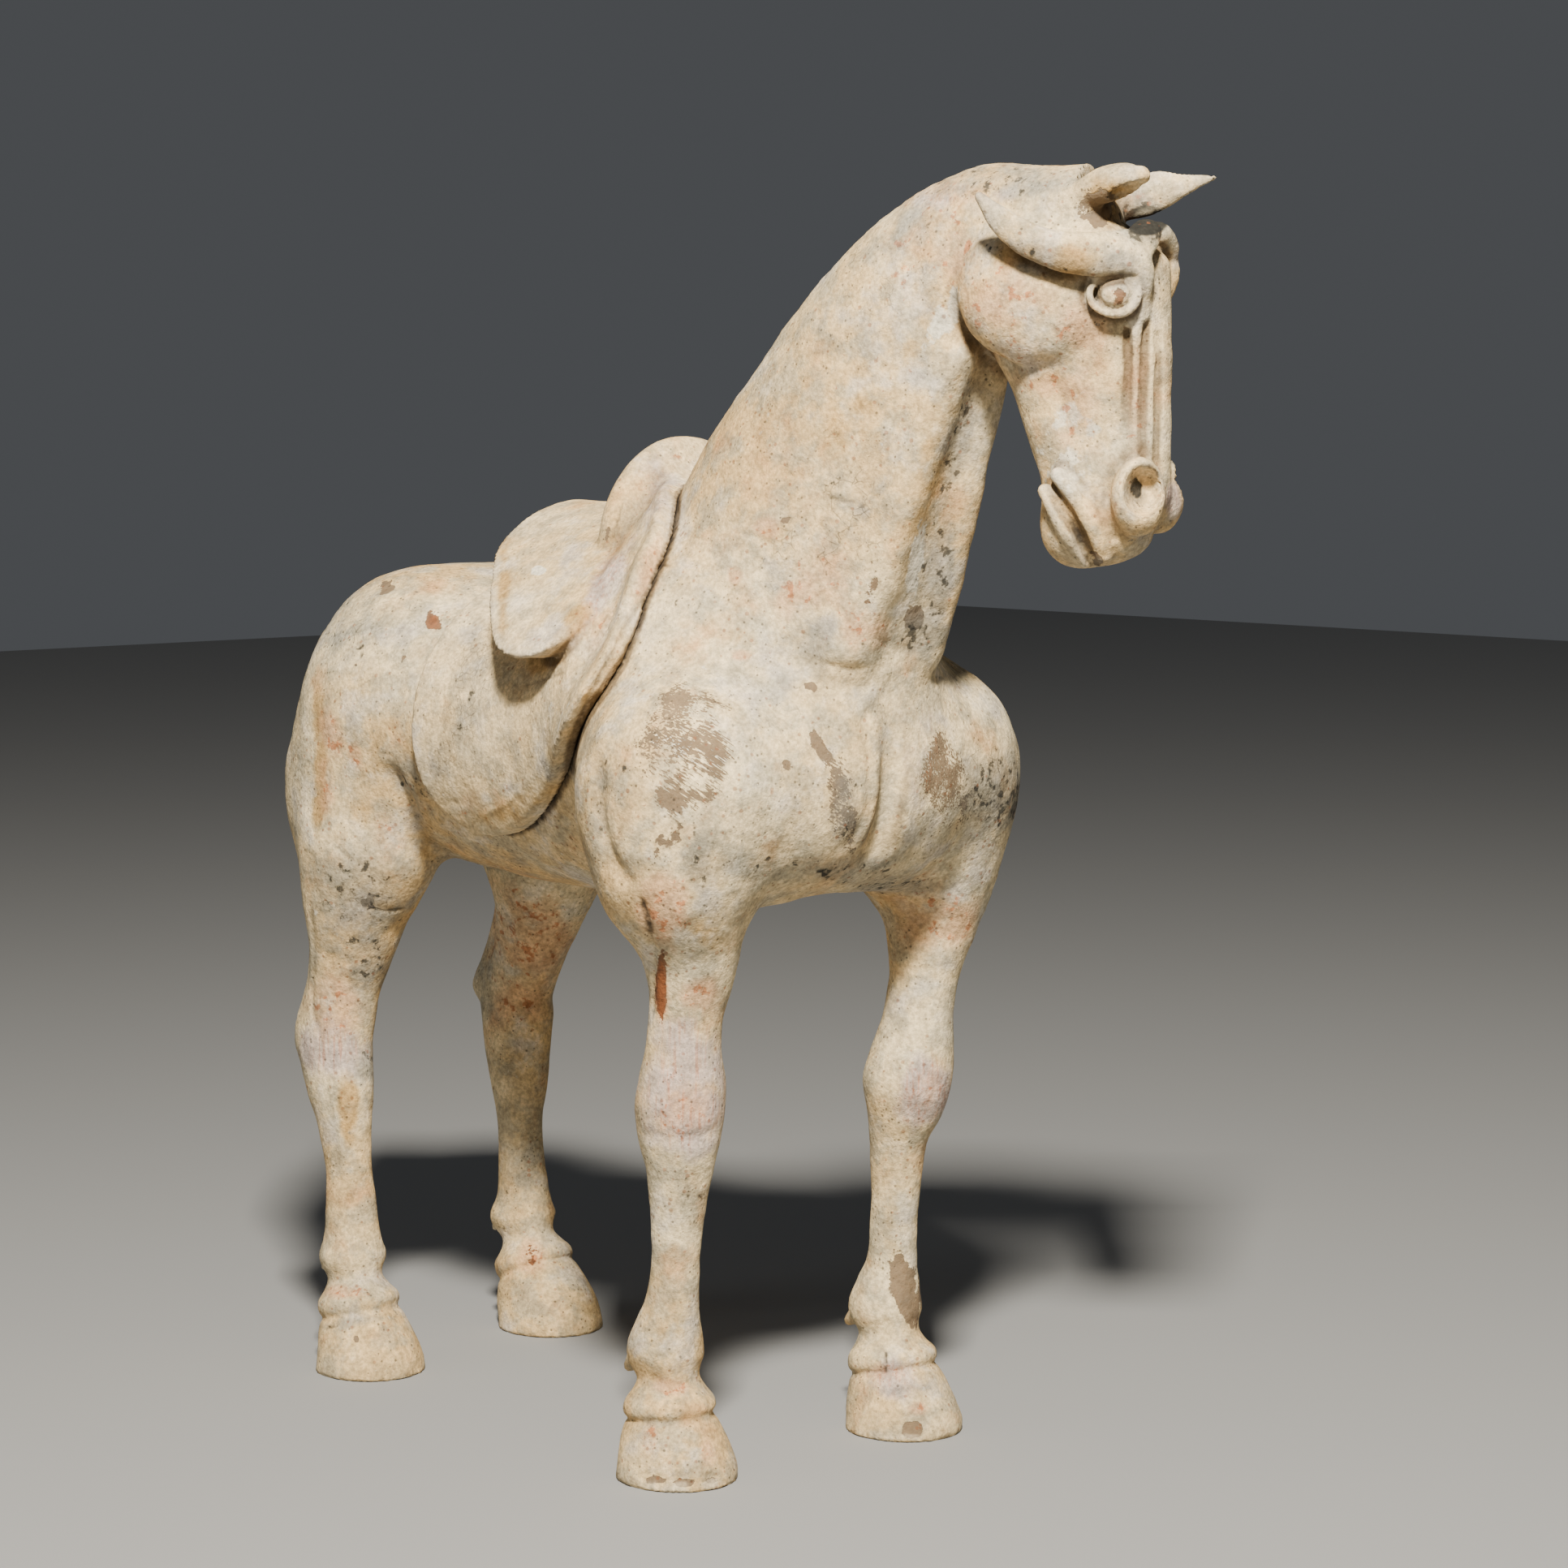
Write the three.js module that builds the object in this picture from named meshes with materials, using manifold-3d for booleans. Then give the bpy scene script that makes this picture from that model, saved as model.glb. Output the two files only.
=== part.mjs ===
// A painted grey-pottery horse, saddled, standing on four hooves with its head turned to its left.
// Millimetres, +Z up, +X ahead of the horse, +Y its left side, origin under the middle of its box.
import * as THREE from 'three';
import Module from 'manifold-3d';

const wasm = await Module();
wasm.setup();

// Driving sizes
const standHeight = 800;        // sole of the hooves to the top of the crest
const clothThickness = 13;      // slab of the saddle cloth and its flaps
const saddleClearance = 0.35;   // joint between the saddle's under-surface and the horse
const seatSpread = 137;         // seat of the saddle, middle line to the tip of its wing
const seatDrop = 93;            // seat's ridge over the back down to the tip of its wing
const seatThickness = 18;       // plate of the seat, square to its face
const seatInset = 12;           // how far the filling under the wing stands back from its edge
const pommelThickness = 50;     // front arch of the saddle, measured along the horse
const meshCell = 7;             // edge of the cubes that the surface is traced in
const horseTriangles = 7300;    // facets kept on the horse
const saddleTriangles = 1500;   // facets kept on the saddle before it is fitted

// The pose and the carving are drawn on a horse 800 mm tall and carried to the height above.
const drawnHeight = 800;
const toReal = standHeight / drawnHeight;

// Pose of the head: where it hangs from the neck, and how far it is turned to the left.
const poll = new THREE.Vector3(373, 33, 775);
const headTurn = THREE.MathUtils.degToRad(28);

// Where the surface is cut off flat to stand on, and how far the hooves are drawn below it.
const soleLevel = 0;
const soleAllowance = 8;

const horseBox = { low: [-320, -185, -20], high: [480, 185, 825] };
const saddleBox = { low: [-85, -160, 360], high: [175, 160, 665] };

// Signed distances, negative inside

const tiny = 1e-9;
const slight = 1e-3;
const fromMiddle = Math.sqrt(3) / 2;      // middle of a cube to its corner, for a side of 1
const steepest = 1.8;                     // most that a distance changes over a step of 1
const blockCells = 4;                     // cubes along the side of a block that is looked at whole
const blockReach = blockCells * meshCell * fromMiddle * steepest;

function smoothUnion(a, b, reach) {
  const h = Math.max(reach - Math.abs(a - b), 0) / reach;
  return Math.min(a, b) - (h * h * reach) / 4;
}

function smoothCut(a, cutter, reach) {
  return -smoothUnion(-a, cutter, reach);
}

function ellipsoid(centre, radii) {
  return (x, y, z) => {
    const u = (x - centre[0]) / radii[0];
    const v = (y - centre[1]) / radii[1];
    const w = (z - centre[2]) / radii[2];
    const near = Math.hypot(u, v, w);
    const slope = Math.hypot(u / radii[0], v / radii[1], w / radii[2]);
    return slope < tiny ? -Math.min(...radii) : (near * (near - 1)) / slope;
  };
}

// A row of values carried smoothly from station to station, with steps places added between two.
function smoothRows(rows, steps) {
  const out = [];
  for (let i = 0; i < rows.length - 1; i += 1) {
    const before = rows[Math.max(i - 1, 0)];
    const after = rows[Math.min(i + 2, rows.length - 1)];
    for (let s = 0; s < steps; s += 1) {
      const t = s / steps;
      out.push(rows[i].map((p, k) => {
        const q = rows[i + 1][k];
        const m0 = (q - before[k]) / 2;
        const m1 = (after[k] - p) / 2;
        const t2 = t * t;
        const t3 = t2 * t;
        return (2 * t3 - 3 * t2 + 1) * p + (t3 - 2 * t2 + t) * m0
          + (3 * t2 - 2 * t3) * q + (t3 - t2) * m1;
      }));
    }
  }
  out.push(rows[rows.length - 1]);
  return out;
}

// Farther off than a block's reach a body is measured only by the box round it.
function gapTo(bounds, x, y, z) {
  const gapX = Math.max(bounds.min.x - x, x - bounds.max.x, 0);
  const gapY = Math.max(bounds.min.y - y, y - bounds.max.y, 0);
  const gapZ = Math.max(bounds.min.z - z, z - bounds.max.z, 0);
  return Math.hypot(gapX, gapY, gapZ);
}

// A body swept along a bent spine. Each station is [x, y, z, side, front, back]: its middle, its
// half-width to either side, and its half-depth towards the front and the back of the section.
function sweep(stations, steps = 5) {
  const rows = smoothRows(stations, steps);
  const last = rows.length - 1;
  const bounds = new THREE.Box3();
  for (const row of rows) {
    const reach = Math.max(row[3], row[4], row[5]);
    bounds.expandByPoint(new THREE.Vector3(row[0] - reach, row[1] - reach, row[2] - reach));
    bounds.expandByPoint(new THREE.Vector3(row[0] + reach, row[1] + reach, row[2] + reach));
  }
  const frames = rows.map((row, i) => {
    const before = new THREE.Vector3(...rows[Math.max(i - 1, 0)]);
    const along = new THREE.Vector3(...rows[Math.min(i + 1, last)]).sub(before).normalize();
    const side = new THREE.Vector3(0, 1, 0).addScaledVector(along, -along.y).normalize();
    const front = new THREE.Vector3().crossVectors(side, along);
    return [...row, ...side.toArray(), ...front.toArray(), ...along.toArray()];
  });
  const field = (x, y, z) => {
    const gap = gapTo(bounds, x, y, z);
    if (gap > blockReach) return gap;
    let nearest = Infinity;
    let place = 0;
    for (let i = 0; i < last; i += 1) {
      const a = rows[i];
      const b = rows[i + 1];
      const spanX = b[0] - a[0];
      const spanY = b[1] - a[1];
      const spanZ = b[2] - a[2];
      const along = (x - a[0]) * spanX + (y - a[1]) * spanY + (z - a[2]) * spanZ;
      const t = Math.min(Math.max(along / (spanX ** 2 + spanY ** 2 + spanZ ** 2), 0), 1);
      const away = (x - a[0] - t * spanX) ** 2 + (y - a[1] - t * spanY) ** 2 + (z - a[2] - t * spanZ) ** 2;
      if (away < nearest) {
        nearest = away;
        place = i + t;
      }
    }
    const i = Math.min(Math.floor(place), last - 1);
    const t = place - i;
    const a = frames[i];
    const b = frames[i + 1];
    const mix = (k) => a[k] + (b[k] - a[k]) * t;
    const dx = x - mix(0);
    const dy = y - mix(1);
    const dz = z - mix(2);
    const across = dx * mix(6) + dy * mix(7) + dz * mix(8);
    const ahead = dx * mix(9) + dy * mix(10) + dz * mix(11);
    const beyond = dx * mix(12) + dy * mix(13) + dz * mix(14);
    const half = mix(3);
    const depth = ahead > 0 ? mix(4) : mix(5);
    const cap = Math.min(half, depth);
    const near = Math.hypot(across / half, ahead / depth, beyond / cap);
    const slope = Math.hypot(across / half ** 2, ahead / depth ** 2, beyond / cap ** 2);
    return slope < tiny ? -cap : (near * (near - 1)) / slope;
  };
  field.bounds = bounds;
  return field;
}

// A round rod through a few points, each [x, y, z, radius]
function rod(points, steps = 4) {
  return sweep(points.map(([x, y, z, r]) => [x, y, z, r, r, r]), steps);
}

function mirrored(build) {
  return [-1, 1].map(build);
}

// Trunk: stations run from the buttocks to the breast; front is the belly, back is the topline.
const trunk = sweep([
  [-219, 0, 450, 72, 72, 68],
  [-196, 0, 448, 100, 92, 95],
  [-150, 0, 448, 112, 98, 103],
  [-90, 0, 446, 109, 101, 99],
  [-20, 0, 445, 105, 102, 90],
  [50, 0, 448, 106, 104, 95],
  [110, 0, 452, 112, 104, 110],
  [165, 0, 448, 112, 98, 100],
  [196, 0, 438, 92, 80, 80],
]);

// Neck: front is the throat, back is the crest.
const neck = sweep([
  [150, 0, 500, 90, 106, 94],
  [176, 0, 545, 78, 101, 98],
  [199, 0, 590, 66, 94, 94],
  [221, 2, 630, 56, 86, 85],
  [243, 4, 667, 50, 76, 76],
  [268, 8, 702, 45, 65, 67],
  [295, 15, 730, 41, 53, 59],
  [322, 23, 747, 38, 44, 52],
  [347, 30, 750, 36, 38, 49],
  [368, 34, 748, 33, 32, 45],
]);

// The cords of muscle that run down each side of the throat into the breast
const throatCords = mirrored((s) => rod([
  [326, 14 + s * 16, 690, 9],
  [306, 8 + s * 20, 640, 11],
  [286, 3 + s * 25, 580, 13],
  [258, s * 30, 516, 15],
]));

// Breast and shoulders
const breast = mirrored((s) => ellipsoid([186, s * 50, 432], [78, 54, 76]));
const shoulders = mirrored((s) => ellipsoid([186, s * 92, 436], [72, 66, 66]));
const upperArms = mirrored((s) => ellipsoid([186, s * 105, 394], [54, 48, 66]));
const shoulderBlades = mirrored((s) => ellipsoid([146, s * 66, 470], [54, 46, 84]));

// Haunches
const croup = mirrored((s) => ellipsoid([-163, s * 50, 457], [82, 62, 80]));
const thighs = mirrored((s) => ellipsoid([-176, s * 74, 400], [74, 45, 88]));

// A leg: a profile of [z, side, front, back] hung on a spine of [z, x, y].
function legAt(spine, z) {
  let i = 0;
  while (i < spine.length - 2 && spine[i + 1][0] < z) i += 1;
  const [z0, x0, y0] = spine[i];
  const [z1, x1, y1] = spine[i + 1];
  const t = THREE.MathUtils.clamp((z - z0) / (z1 - z0), 0, 1);
  return [x0 + (x1 - x0) * t, y0 + (y1 - y0) * t];
}

const hoofProfile = [
  [-soleAllowance, 37, 41, 35],
  [3, 37, 41, 35],
  [18, 33.5, 37, 32],
  [33, 29, 31, 28.5],
];

const forelegProfile = [
  ...hoofProfile,
  [37.5, 26, 28, 25.5],
  [42, 28.5, 30.5, 28],
  [48, 27.5, 29.5, 27],
  [55, 22, 24, 21],
  [63, 19, 20, 19],
  [76, 23, 22, 26],
  [92, 20, 19, 22],
  [112, 15, 16, 17],
  [150, 15, 15, 16],
  [188, 18, 18, 20],
  [210, 24, 25, 24],
  [230, 28, 28, 27],
  [250, 26, 27, 26],
  [270, 23, 24, 23],
  [292, 22.5, 23, 22.5],
  [318, 27, 28, 27],
  [350, 34, 37, 35],
  [380, 44, 48, 44],
];

const hindlegProfile = [
  ...hoofProfile,
  [37.5, 26, 28, 25.5],
  [42, 28, 30, 27.5],
  [48, 27.5, 29.5, 27],
  [55, 22, 24, 21],
  [63, 18.5, 19.5, 20],
  [76, 23, 22, 27],
  [92, 18, 20, 22],
  [130, 16, 18, 19],
  [165, 17, 20, 22],
  [195, 20, 25, 30],
  [222, 22, 27, 37],
  [240, 22, 26, 33],
  [262, 23, 26, 27],
  [290, 28, 31, 32],
  [325, 37, 38, 43],
  [358, 43, 44, 50],
];

const legSpines = {
  rightFore: [[0, 167, -90], [50, 162, -90], [76, 160, -90], [112, 166, -90], [188, 174, -91],
    [230, 174, -91], [285, 180, -91], [318, 184, -91], [350, 187, -94], [380, 186, -98]],
  leftFore: [[0, 181, 90], [50, 170, 90], [76, 167, 90], [112, 172, 90], [188, 178, 90],
    [230, 185, 91], [285, 190, 98], [350, 190, 108], [380, 188, 106]],
  rightHind: [[0, -169, -83], [50, -182, -83], [74, -186, -83], [130, -189, -83], [195, -197, -83],
    [222, -202, -83], [262, -195, -82], [325, -178, -80], [358, -168, -78]],
  leftHind: [[0, -180, 83], [42, -199, 83], [74, -209, 83], [130, -211, 83], [195, -213, 83],
    [240, -212, 83], [280, -194, 82], [325, -176, 80], [358, -168, 78]],
};

function leg(profile, spine) {
  return sweep(profile.map(([z, side, front, back]) => {
    const [x, y] = legAt(spine, z);
    return [x, y, z, side, front, back];
  }), 4);
}

// The pointed spur behind each fetlock
function spur(spine) {
  const [x, y] = legAt(spine, 66);
  return rod([[x - 14, y, 74, 9], [x - 30, y, 66, 6], [x - 37, y, 61, 3]], 1);
}

const legs = [
  leg(forelegProfile, legSpines.rightFore),
  leg(forelegProfile, legSpines.leftFore),
  leg(hindlegProfile, legSpines.rightHind),
  leg(hindlegProfile, legSpines.leftHind),
];
const spurs = Object.values(legSpines).map(spur);

// The tendon from the point of each hock up to the thigh
const hockTendons = [
  rod([[-228, -83, 224, 10], [-222, -82, 262, 9], [-206, -81, 310, 12]]),
  rod([[-250, 83, 240, 11], [-237, 83, 268, 10], [-211, 81, 312, 12]]),
];

// A short tail bound close to the buttocks
const tail = rod([[-262, 0, 510, 13], [-284, 0, 486, 12], [-287, 0, 452, 11], [-280, 0, 424, 8]]);

// Head, drawn in its own axes: ahead of the poll, to its left, and up. The face hangs straight down.
// Stations run from the poll to the lips; front is the jaw, back is the line of the nose.
const skull = sweep([
  [16, 0, -10, 33, 50, 20],
  [16, 0, -28, 38, 62, 40],
  [16, 0, -55, 37, 66, 45],
  [16, 0, -84, 31, 57, 46],
  [16, 0, -106, 27, 45, 46],
  [16, 0, -130, 24, 36, 46],
  [16, 0, -155, 22, 27, 45],
  [16, 0, -176, 22, 27, 43],
  [16, 0, -190, 20, 25, 36],
]);
const jowls = mirrored((s) => ellipsoid([-7, s * 24, -50], [47, 24, 43]));
const jowlCreases = mirrored((s) => rod([[-42, s * 30, -96, 4], [-20, s * 37, -99, 6], [6, s * 40, -95, 6],
  [32, s * 38, -92, 3]]));
const nosePlane = sweep([[46, 0, -40, 16, 16, 16], [48, 0, -110, 13, 15, 15], [50, 0, -165, 13, 13, 13]]);
const brows = mirrored((s) => rod([[24, s * 37, -38, 7], [40, s * 38, -33, 8], [54, s * 30, -38, 8],
  [52, s * 22, -60, 5], [48, s * 19, -80, 3]]));
const foreheadHollow = ellipsoid([68, 0, -4], [27, 22, 26]);
const sockets = mirrored((s) => ellipsoid([41, s * 46, -53], [15, 14, 12]));
const eyes = mirrored((s) => ellipsoid([41, s * 36, -53], [11, 11, 10]));
const faceGrooves = [
  ...mirrored((s) => rod([[46, s * 24, -74, 2], [46, s * 21, -105, 3], [44, s * 21, -145, 2]])),
  ...mirrored((s) => rod([[55, s * 19, -70, 2], [54, s * 17, -105, 3], [54, s * 16, -148, 2]])),
];
const cheekHollows = mirrored((s) => rod([[5, s * 33, -100, 5], [11, s * 31, -120, 6], [18, s * 29, -142, 4]]));

// Muzzle: flared nostrils, and the mouth between two rolls of the lips
const noseRims = mirrored((s) => ellipsoid([53, s * 22, -168], [15, 16, 22]));
const nostrils = mirrored((s) => ellipsoid([59, s * 35, -166], [11, 17, 16]));
const upperLip = ellipsoid([34, 0, -187], [20, 22, 16]);
const lowerLip = ellipsoid([10, 0, -187], [19, 21, 18]);
const lipRolls = [
  ...mirrored((s) => rod([[6, s * 25, -156, 5], [18, s * 24, -171, 5.5], [27, s * 22, -186, 5.5],
    [30, s * 15, -202, 5]])),
  ...mirrored((s) => rod([[-3, s * 22, -165, 4.5], [6, s * 23, -181, 5.5], [13, s * 20, -194, 5],
    [19, s * 10, -204, 5]])),
];
const mouthLine = mirrored((s) => rod([[-3, s * 27, -159, 2.4], [4, s * 28, -167, 3.6], [12, s * 27, -179, 4],
  [18.5, s * 24, -190, 4], [22, s * 18, -204, 4], [26, s * 5, -213, 3]]));

// The right ear is broken off short and hollow; the left one runs to its point.
const rightEar = rod([[14, -24, 0, 8], [22, -26, 5, 9], [32, -28, 9, 10.5], [42, -29, 11, 10.5],
  [50, -30, 12.5, 8.5], [54, -30, 13.5, 6]]);
const rightEarHollow = rod([[42, -33, 3, 5], [58, -34, 3, 8]]);
const leftEar = sweep([[14, 24, -2, 9, 8, 8], [36, 27, 4, 6, 12, 10], [50, 31, 8, 6, 11, 12],
  [64, 36, 12, 4, 6, 7], [79, 43, 16, 1.6, 1.8, 1.8]]);
const leftEarHollow = rod([[34, 38, 2, 5], [54, 42, 8, 4]]);

// The forelock is parted into two locks that stand off the temples like horns.
const locks = mirrored((s) => sweep([
  [53, s * 12, -17, 7, 9, 9],
  [50, s * 31, -26, 7.5, 11, 12],
  [32, s * 47, -31, 7.5, 13, 13],
  [6, s * 55, -27, 7, 11, 11],
  [-17, s * 57, -14, 5, 8, 8],
  [-32, s * 59, 2, 2.5, 2.5, 2.5],
]));

function unionOf(fields, reach, x, y, z, start = Infinity) {
  let d = start;
  for (const field of fields) d = smoothUnion(d, field(x, y, z), reach);
  return d;
}

function cutBy(fields, reach, x, y, z, start) {
  let d = start;
  for (const field of fields) d = smoothCut(d, field(x, y, z), reach);
  return d;
}

const turnCos = Math.cos(headTurn);
const turnSin = Math.sin(headTurn);
const headBounds = new THREE.Box3();
for (const field of [skull, nosePlane, leftEar, rightEar, ...brows, ...locks, ...lipRolls]) {
  headBounds.union(field.bounds);
}

function headField(x, y, z) {
  const dx = x - poll.x;
  const dy = y - poll.y;
  const up = z - poll.z;
  const ahead = dx * turnCos + dy * turnSin;
  const left = dy * turnCos - dx * turnSin;
  const gap = gapTo(headBounds, ahead, left, up);
  if (gap > blockReach) return gap;
  let d = skull(ahead, left, up);
  d = smoothUnion(d, nosePlane(ahead, left, up), 12);
  d = smoothUnion(d, upperLip(ahead, left, up), 9);
  d = smoothUnion(d, lowerLip(ahead, left, up), 8);
  d = unionOf(jowls, 4, ahead, left, up, d);
  d = unionOf(noseRims, 8, ahead, left, up, d);
  d = unionOf(brows, 7, ahead, left, up, d);
  d = smoothCut(d, foreheadHollow(ahead, left, up), 6);
  d = cutBy(cheekHollows, 8, ahead, left, up, d);
  d = cutBy(jowlCreases, 5, ahead, left, up, d);
  d = cutBy(faceGrooves, 3, ahead, left, up, d);
  d = cutBy(sockets, 4, ahead, left, up, d);
  d = unionOf(eyes, 3, ahead, left, up, d);
  d = cutBy(nostrils, 3, ahead, left, up, d);
  d = unionOf(lipRolls, 4, ahead, left, up, d);
  d = cutBy(mouthLine, 2, ahead, left, up, d);
  d = smoothUnion(d, rightEar(ahead, left, up), 6);
  d = smoothUnion(d, leftEar(ahead, left, up), 6);
  d = smoothCut(d, rightEarHollow(ahead, left, up), 2);
  d = smoothCut(d, leftEarHollow(ahead, left, up), 2);
  return unionOf(locks, 4, ahead, left, up, d);
}

// The groove between the two halves of the breast
const breastGroove = rod([[276, -3, 486, 7], [274, -5, 440, 7], [262, -7, 388, 8]]);

function horseField(x, y, z) {
  let d = trunk(x, y, z);
  d = unionOf(croup, 34, x, y, z, d);
  d = unionOf(shoulderBlades, 36, x, y, z, d);
  d = unionOf(breast, 22, x, y, z, d);
  d = unionOf(shoulders, 24, x, y, z, d);
  d = unionOf(upperArms, 24, x, y, z, d);
  d = smoothUnion(d, neck(x, y, z), 34);
  d = unionOf(throatCords, 14, x, y, z, d);
  d = smoothCut(d, breastGroove(x, y, z), 12);
  let limbs = unionOf(thighs, 20, x, y, z);
  limbs = unionOf(legs, 16, x, y, z, limbs);
  limbs = unionOf(hockTendons, 12, x, y, z, limbs);
  limbs = unionOf(spurs, 6, x, y, z, limbs);
  d = smoothUnion(d, limbs, 14);
  d = smoothUnion(d, tail(x, y, z), 10);
  d = smoothUnion(d, headField(x, y, z), 10);
  return Math.max(d, -soleAllowance - z);
}

// Saddle. Outline of the cloth as seen from the side: [x, z].
const clothOutline = smoothRows([
  [-62, 560], [-62, 450], [-53, 405], [-18, 384], [34, 395], [92, 434], [146, 488], [152, 548], [128, 598],
  [80, 616], [10, 620], [-62, 620], [-62, 560],
], 3);
const edgeRounding = 5;

// The seat hangs from its ridge over the back to a wing on each side. Its outline as seen from the
// side: [x, share of the drop from the ridge].
const seatRidge = 597;
const seatFlare = 1.6;          // 1 is a straight slope from ridge to tip, 2 a rounder fall
const seatOutline = smoothRows([
  [-44, -0.16], [-43, 0.12], [-36, 0.31], [-19, 0.47], [6, 0.68], [38, 0.91], [54, 0.98], [72, 1], [90, 0.96],
  [102, 0.85], [105, 0.71], [94, 0.52], [80, 0.32], [70, 0.1], [64, -0.16], [10, -0.36], [-44, -0.16],
], 3).map(([x, share]) => [x, seatRidge - share * (seatDrop / toReal)]);

// The arch stands in front of the seat, and an arm runs down from it on each side.
const saddleFoot = 440;
const pommel = ellipsoid([72, 0, 566], [pommelThickness / 2 / toReal, 68, 74]);
const bowArms = mirrored((s) => rod([[80, s * 36, 594, 13], [96, s * 52, 556, 10], [111, s * 76, 522, 9],
  [116, s * 95, 498, 8], [106, s * 108, 468, 6]]));

function outlineDistance(outline, px, pz) {
  let best = Infinity;
  let inside = false;
  for (let i = 0; i < outline.length - 1; i += 1) {
    const [ax, az] = outline[i];
    const [bx, bz] = outline[i + 1];
    const t = THREE.MathUtils.clamp(
      ((px - ax) * (bx - ax) + (pz - az) * (bz - az)) / ((bx - ax) ** 2 + (bz - az) ** 2 || 1), 0, 1);
    best = Math.min(best, Math.hypot(px - ax - (bx - ax) * t, pz - az - (bz - az) * t));
    if ((az > pz) !== (bz > pz) && px < ax + ((pz - az) / (bz - az)) * (bx - ax)) inside = !inside;
  }
  return inside ? -best : best;
}

function seatField(x, y, z) {
  const drop = seatDrop / toReal;
  const spread = seatSpread / toReal;
  const out = Math.abs(y) / spread;
  const steepness = (drop * seatFlare * out ** (seatFlare - 1)) / spread;
  const face = (z - seatRidge + drop * out ** seatFlare) / Math.hypot(1, steepness);
  const outline = outlineDistance(seatOutline, x, z);
  const thickness = seatThickness / toReal;
  const plate = Math.max(smoothCut(face, -outline, edgeRounding), -face - thickness);
  const filling = Math.max(face + thickness / 2, outline + seatInset / toReal, saddleFoot - z);
  return Math.min(plate, filling);
}

function saddleField(x, y, z) {
  const body = horseField(x, y, z);
  const cloth = smoothCut(body - clothThickness / toReal, -outlineDistance(clothOutline, x, z), edgeRounding);
  const arch = unionOf(bowArms, 12, x, y, z, Math.max(pommel(x, y, z), saddleFoot - z));
  return smoothUnion(smoothUnion(cloth, arch, 12), seatField(x, y, z), 3);
}

// Tracing the surface: five tetrahedra to a cube, turned in every other one, so that it always closes

const cubeCorners = [[0, 0, 0], [1, 0, 0], [1, 1, 0], [0, 1, 0], [0, 0, 1], [1, 0, 1], [1, 1, 1], [0, 1, 1]];
const evenTetrahedra = [[0, 2, 5, 7], [1, 0, 2, 5], [3, 0, 2, 7], [4, 0, 5, 7], [6, 2, 5, 7]];
const oddTetrahedra = [[1, 3, 4, 6], [0, 1, 3, 4], [2, 1, 3, 6], [5, 1, 4, 6], [7, 3, 4, 6]];

function traceSurface(field, box, cell) {
  const counts = box.low.map((low, k) => Math.ceil((box.high[k] - low) / cell));
  const [nx, ny, nz] = counts;
  const rowLength = nx + 1;
  const layer = rowLength * (ny + 1);
  const edgeNames = layer + rowLength + 2;
  const values = new Map();
  const valueAt = (i, j, k) => {
    const key = i + j * rowLength + k * layer;
    let value = values.get(key);
    if (value === undefined) {
      value = field(box.low[0] + i * cell, box.low[1] + j * cell, box.low[2] + k * cell);
      if (value === 0) value = tiny;
      values.set(key, value);
    }
    return value;
  };
  const points = [];
  const faces = [];
  const onEdge = new Map();
  const edgePoint = (a, b) => {
    const low = Math.min(a.key, b.key);
    const high = Math.max(a.key, b.key);
    const name = low * edgeNames + (high - low);
    let index = onEdge.get(name);
    if (index === undefined) {
      const t = THREE.MathUtils.clamp(a.value / (a.value - b.value), 0.02, 0.98);
      index = points.length;
      points.push([0, 1, 2].map((k) => box.low[k] + cell * (a.at[k] + (b.at[k] - a.at[k]) * t)));
      onEdge.set(name, index);
    }
    return index;
  };
  const block = blockCells;
  for (let bk = 0; bk < nz; bk += block) {
    for (let bj = 0; bj < ny; bj += block) {
      for (let bi = 0; bi < nx; bi += block) {
        const middle = [bi, bj, bk].map((n, k) => box.low[k] + (n + block / 2) * cell);
        if (Math.abs(field(...middle)) > blockReach) continue;
        for (let k = bk; k < Math.min(bk + block, nz); k += 1) {
          for (let j = bj; j < Math.min(bj + block, ny); j += 1) {
            for (let i = bi; i < Math.min(bi + block, nx); i += 1) {
              const corners = cubeCorners.map(([a, b, c]) => ({
                at: [i + a, j + b, k + c],
                key: i + a + (j + b) * rowLength + (k + c) * layer,
                value: valueAt(i + a, j + b, k + c),
              }));
              const inside = corners.filter((c) => c.value < 0).length;
              if (inside === 0 || inside === 8) continue;
              const split = (i + j + k) % 2 === 0 ? evenTetrahedra : oddTetrahedra;
              for (const four of split) cutTetrahedron(four.map((n) => corners[n]), edgePoint, faces);
            }
          }
        }
      }
    }
  }
  return { points, faces };
}

function cutTetrahedron(corners, edgePoint, faces) {
  const inner = corners.filter((c) => c.value < 0);
  const outer = corners.filter((c) => c.value >= 0);
  if (inner.length === 0 || outer.length === 0) return;
  const [p, q, r, s] = corners.map((c) => new THREE.Vector3(...c.at));
  const order = [...inner, ...outer].map((c) => corners.indexOf(c));
  const turned = [p, q, r, s];
  const [a, b, c, d] = order.map((n) => turned[n]);
  const volume = b.clone().sub(a).cross(c.clone().sub(a)).dot(d.clone().sub(a));
  const add = (i, j, k) => faces.push(volume > 0 ? [i, j, k] : [i, k, j]);
  if (inner.length === 1) {
    const [x, y, z] = outer.map((o) => edgePoint(inner[0], o));
    add(x, y, z);
  } else if (inner.length === 3) {
    const [x, y, z] = inner.map((o) => edgePoint(o, outer[0]));
    add(x, y, z);
  } else {
    const ac = edgePoint(inner[0], outer[0]);
    const ad = edgePoint(inner[0], outer[1]);
    const bc = edgePoint(inner[1], outer[0]);
    const bd = edgePoint(inner[1], outer[1]);
    add(ac, ad, bd);
    add(ac, bd, bc);
  }
}

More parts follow.
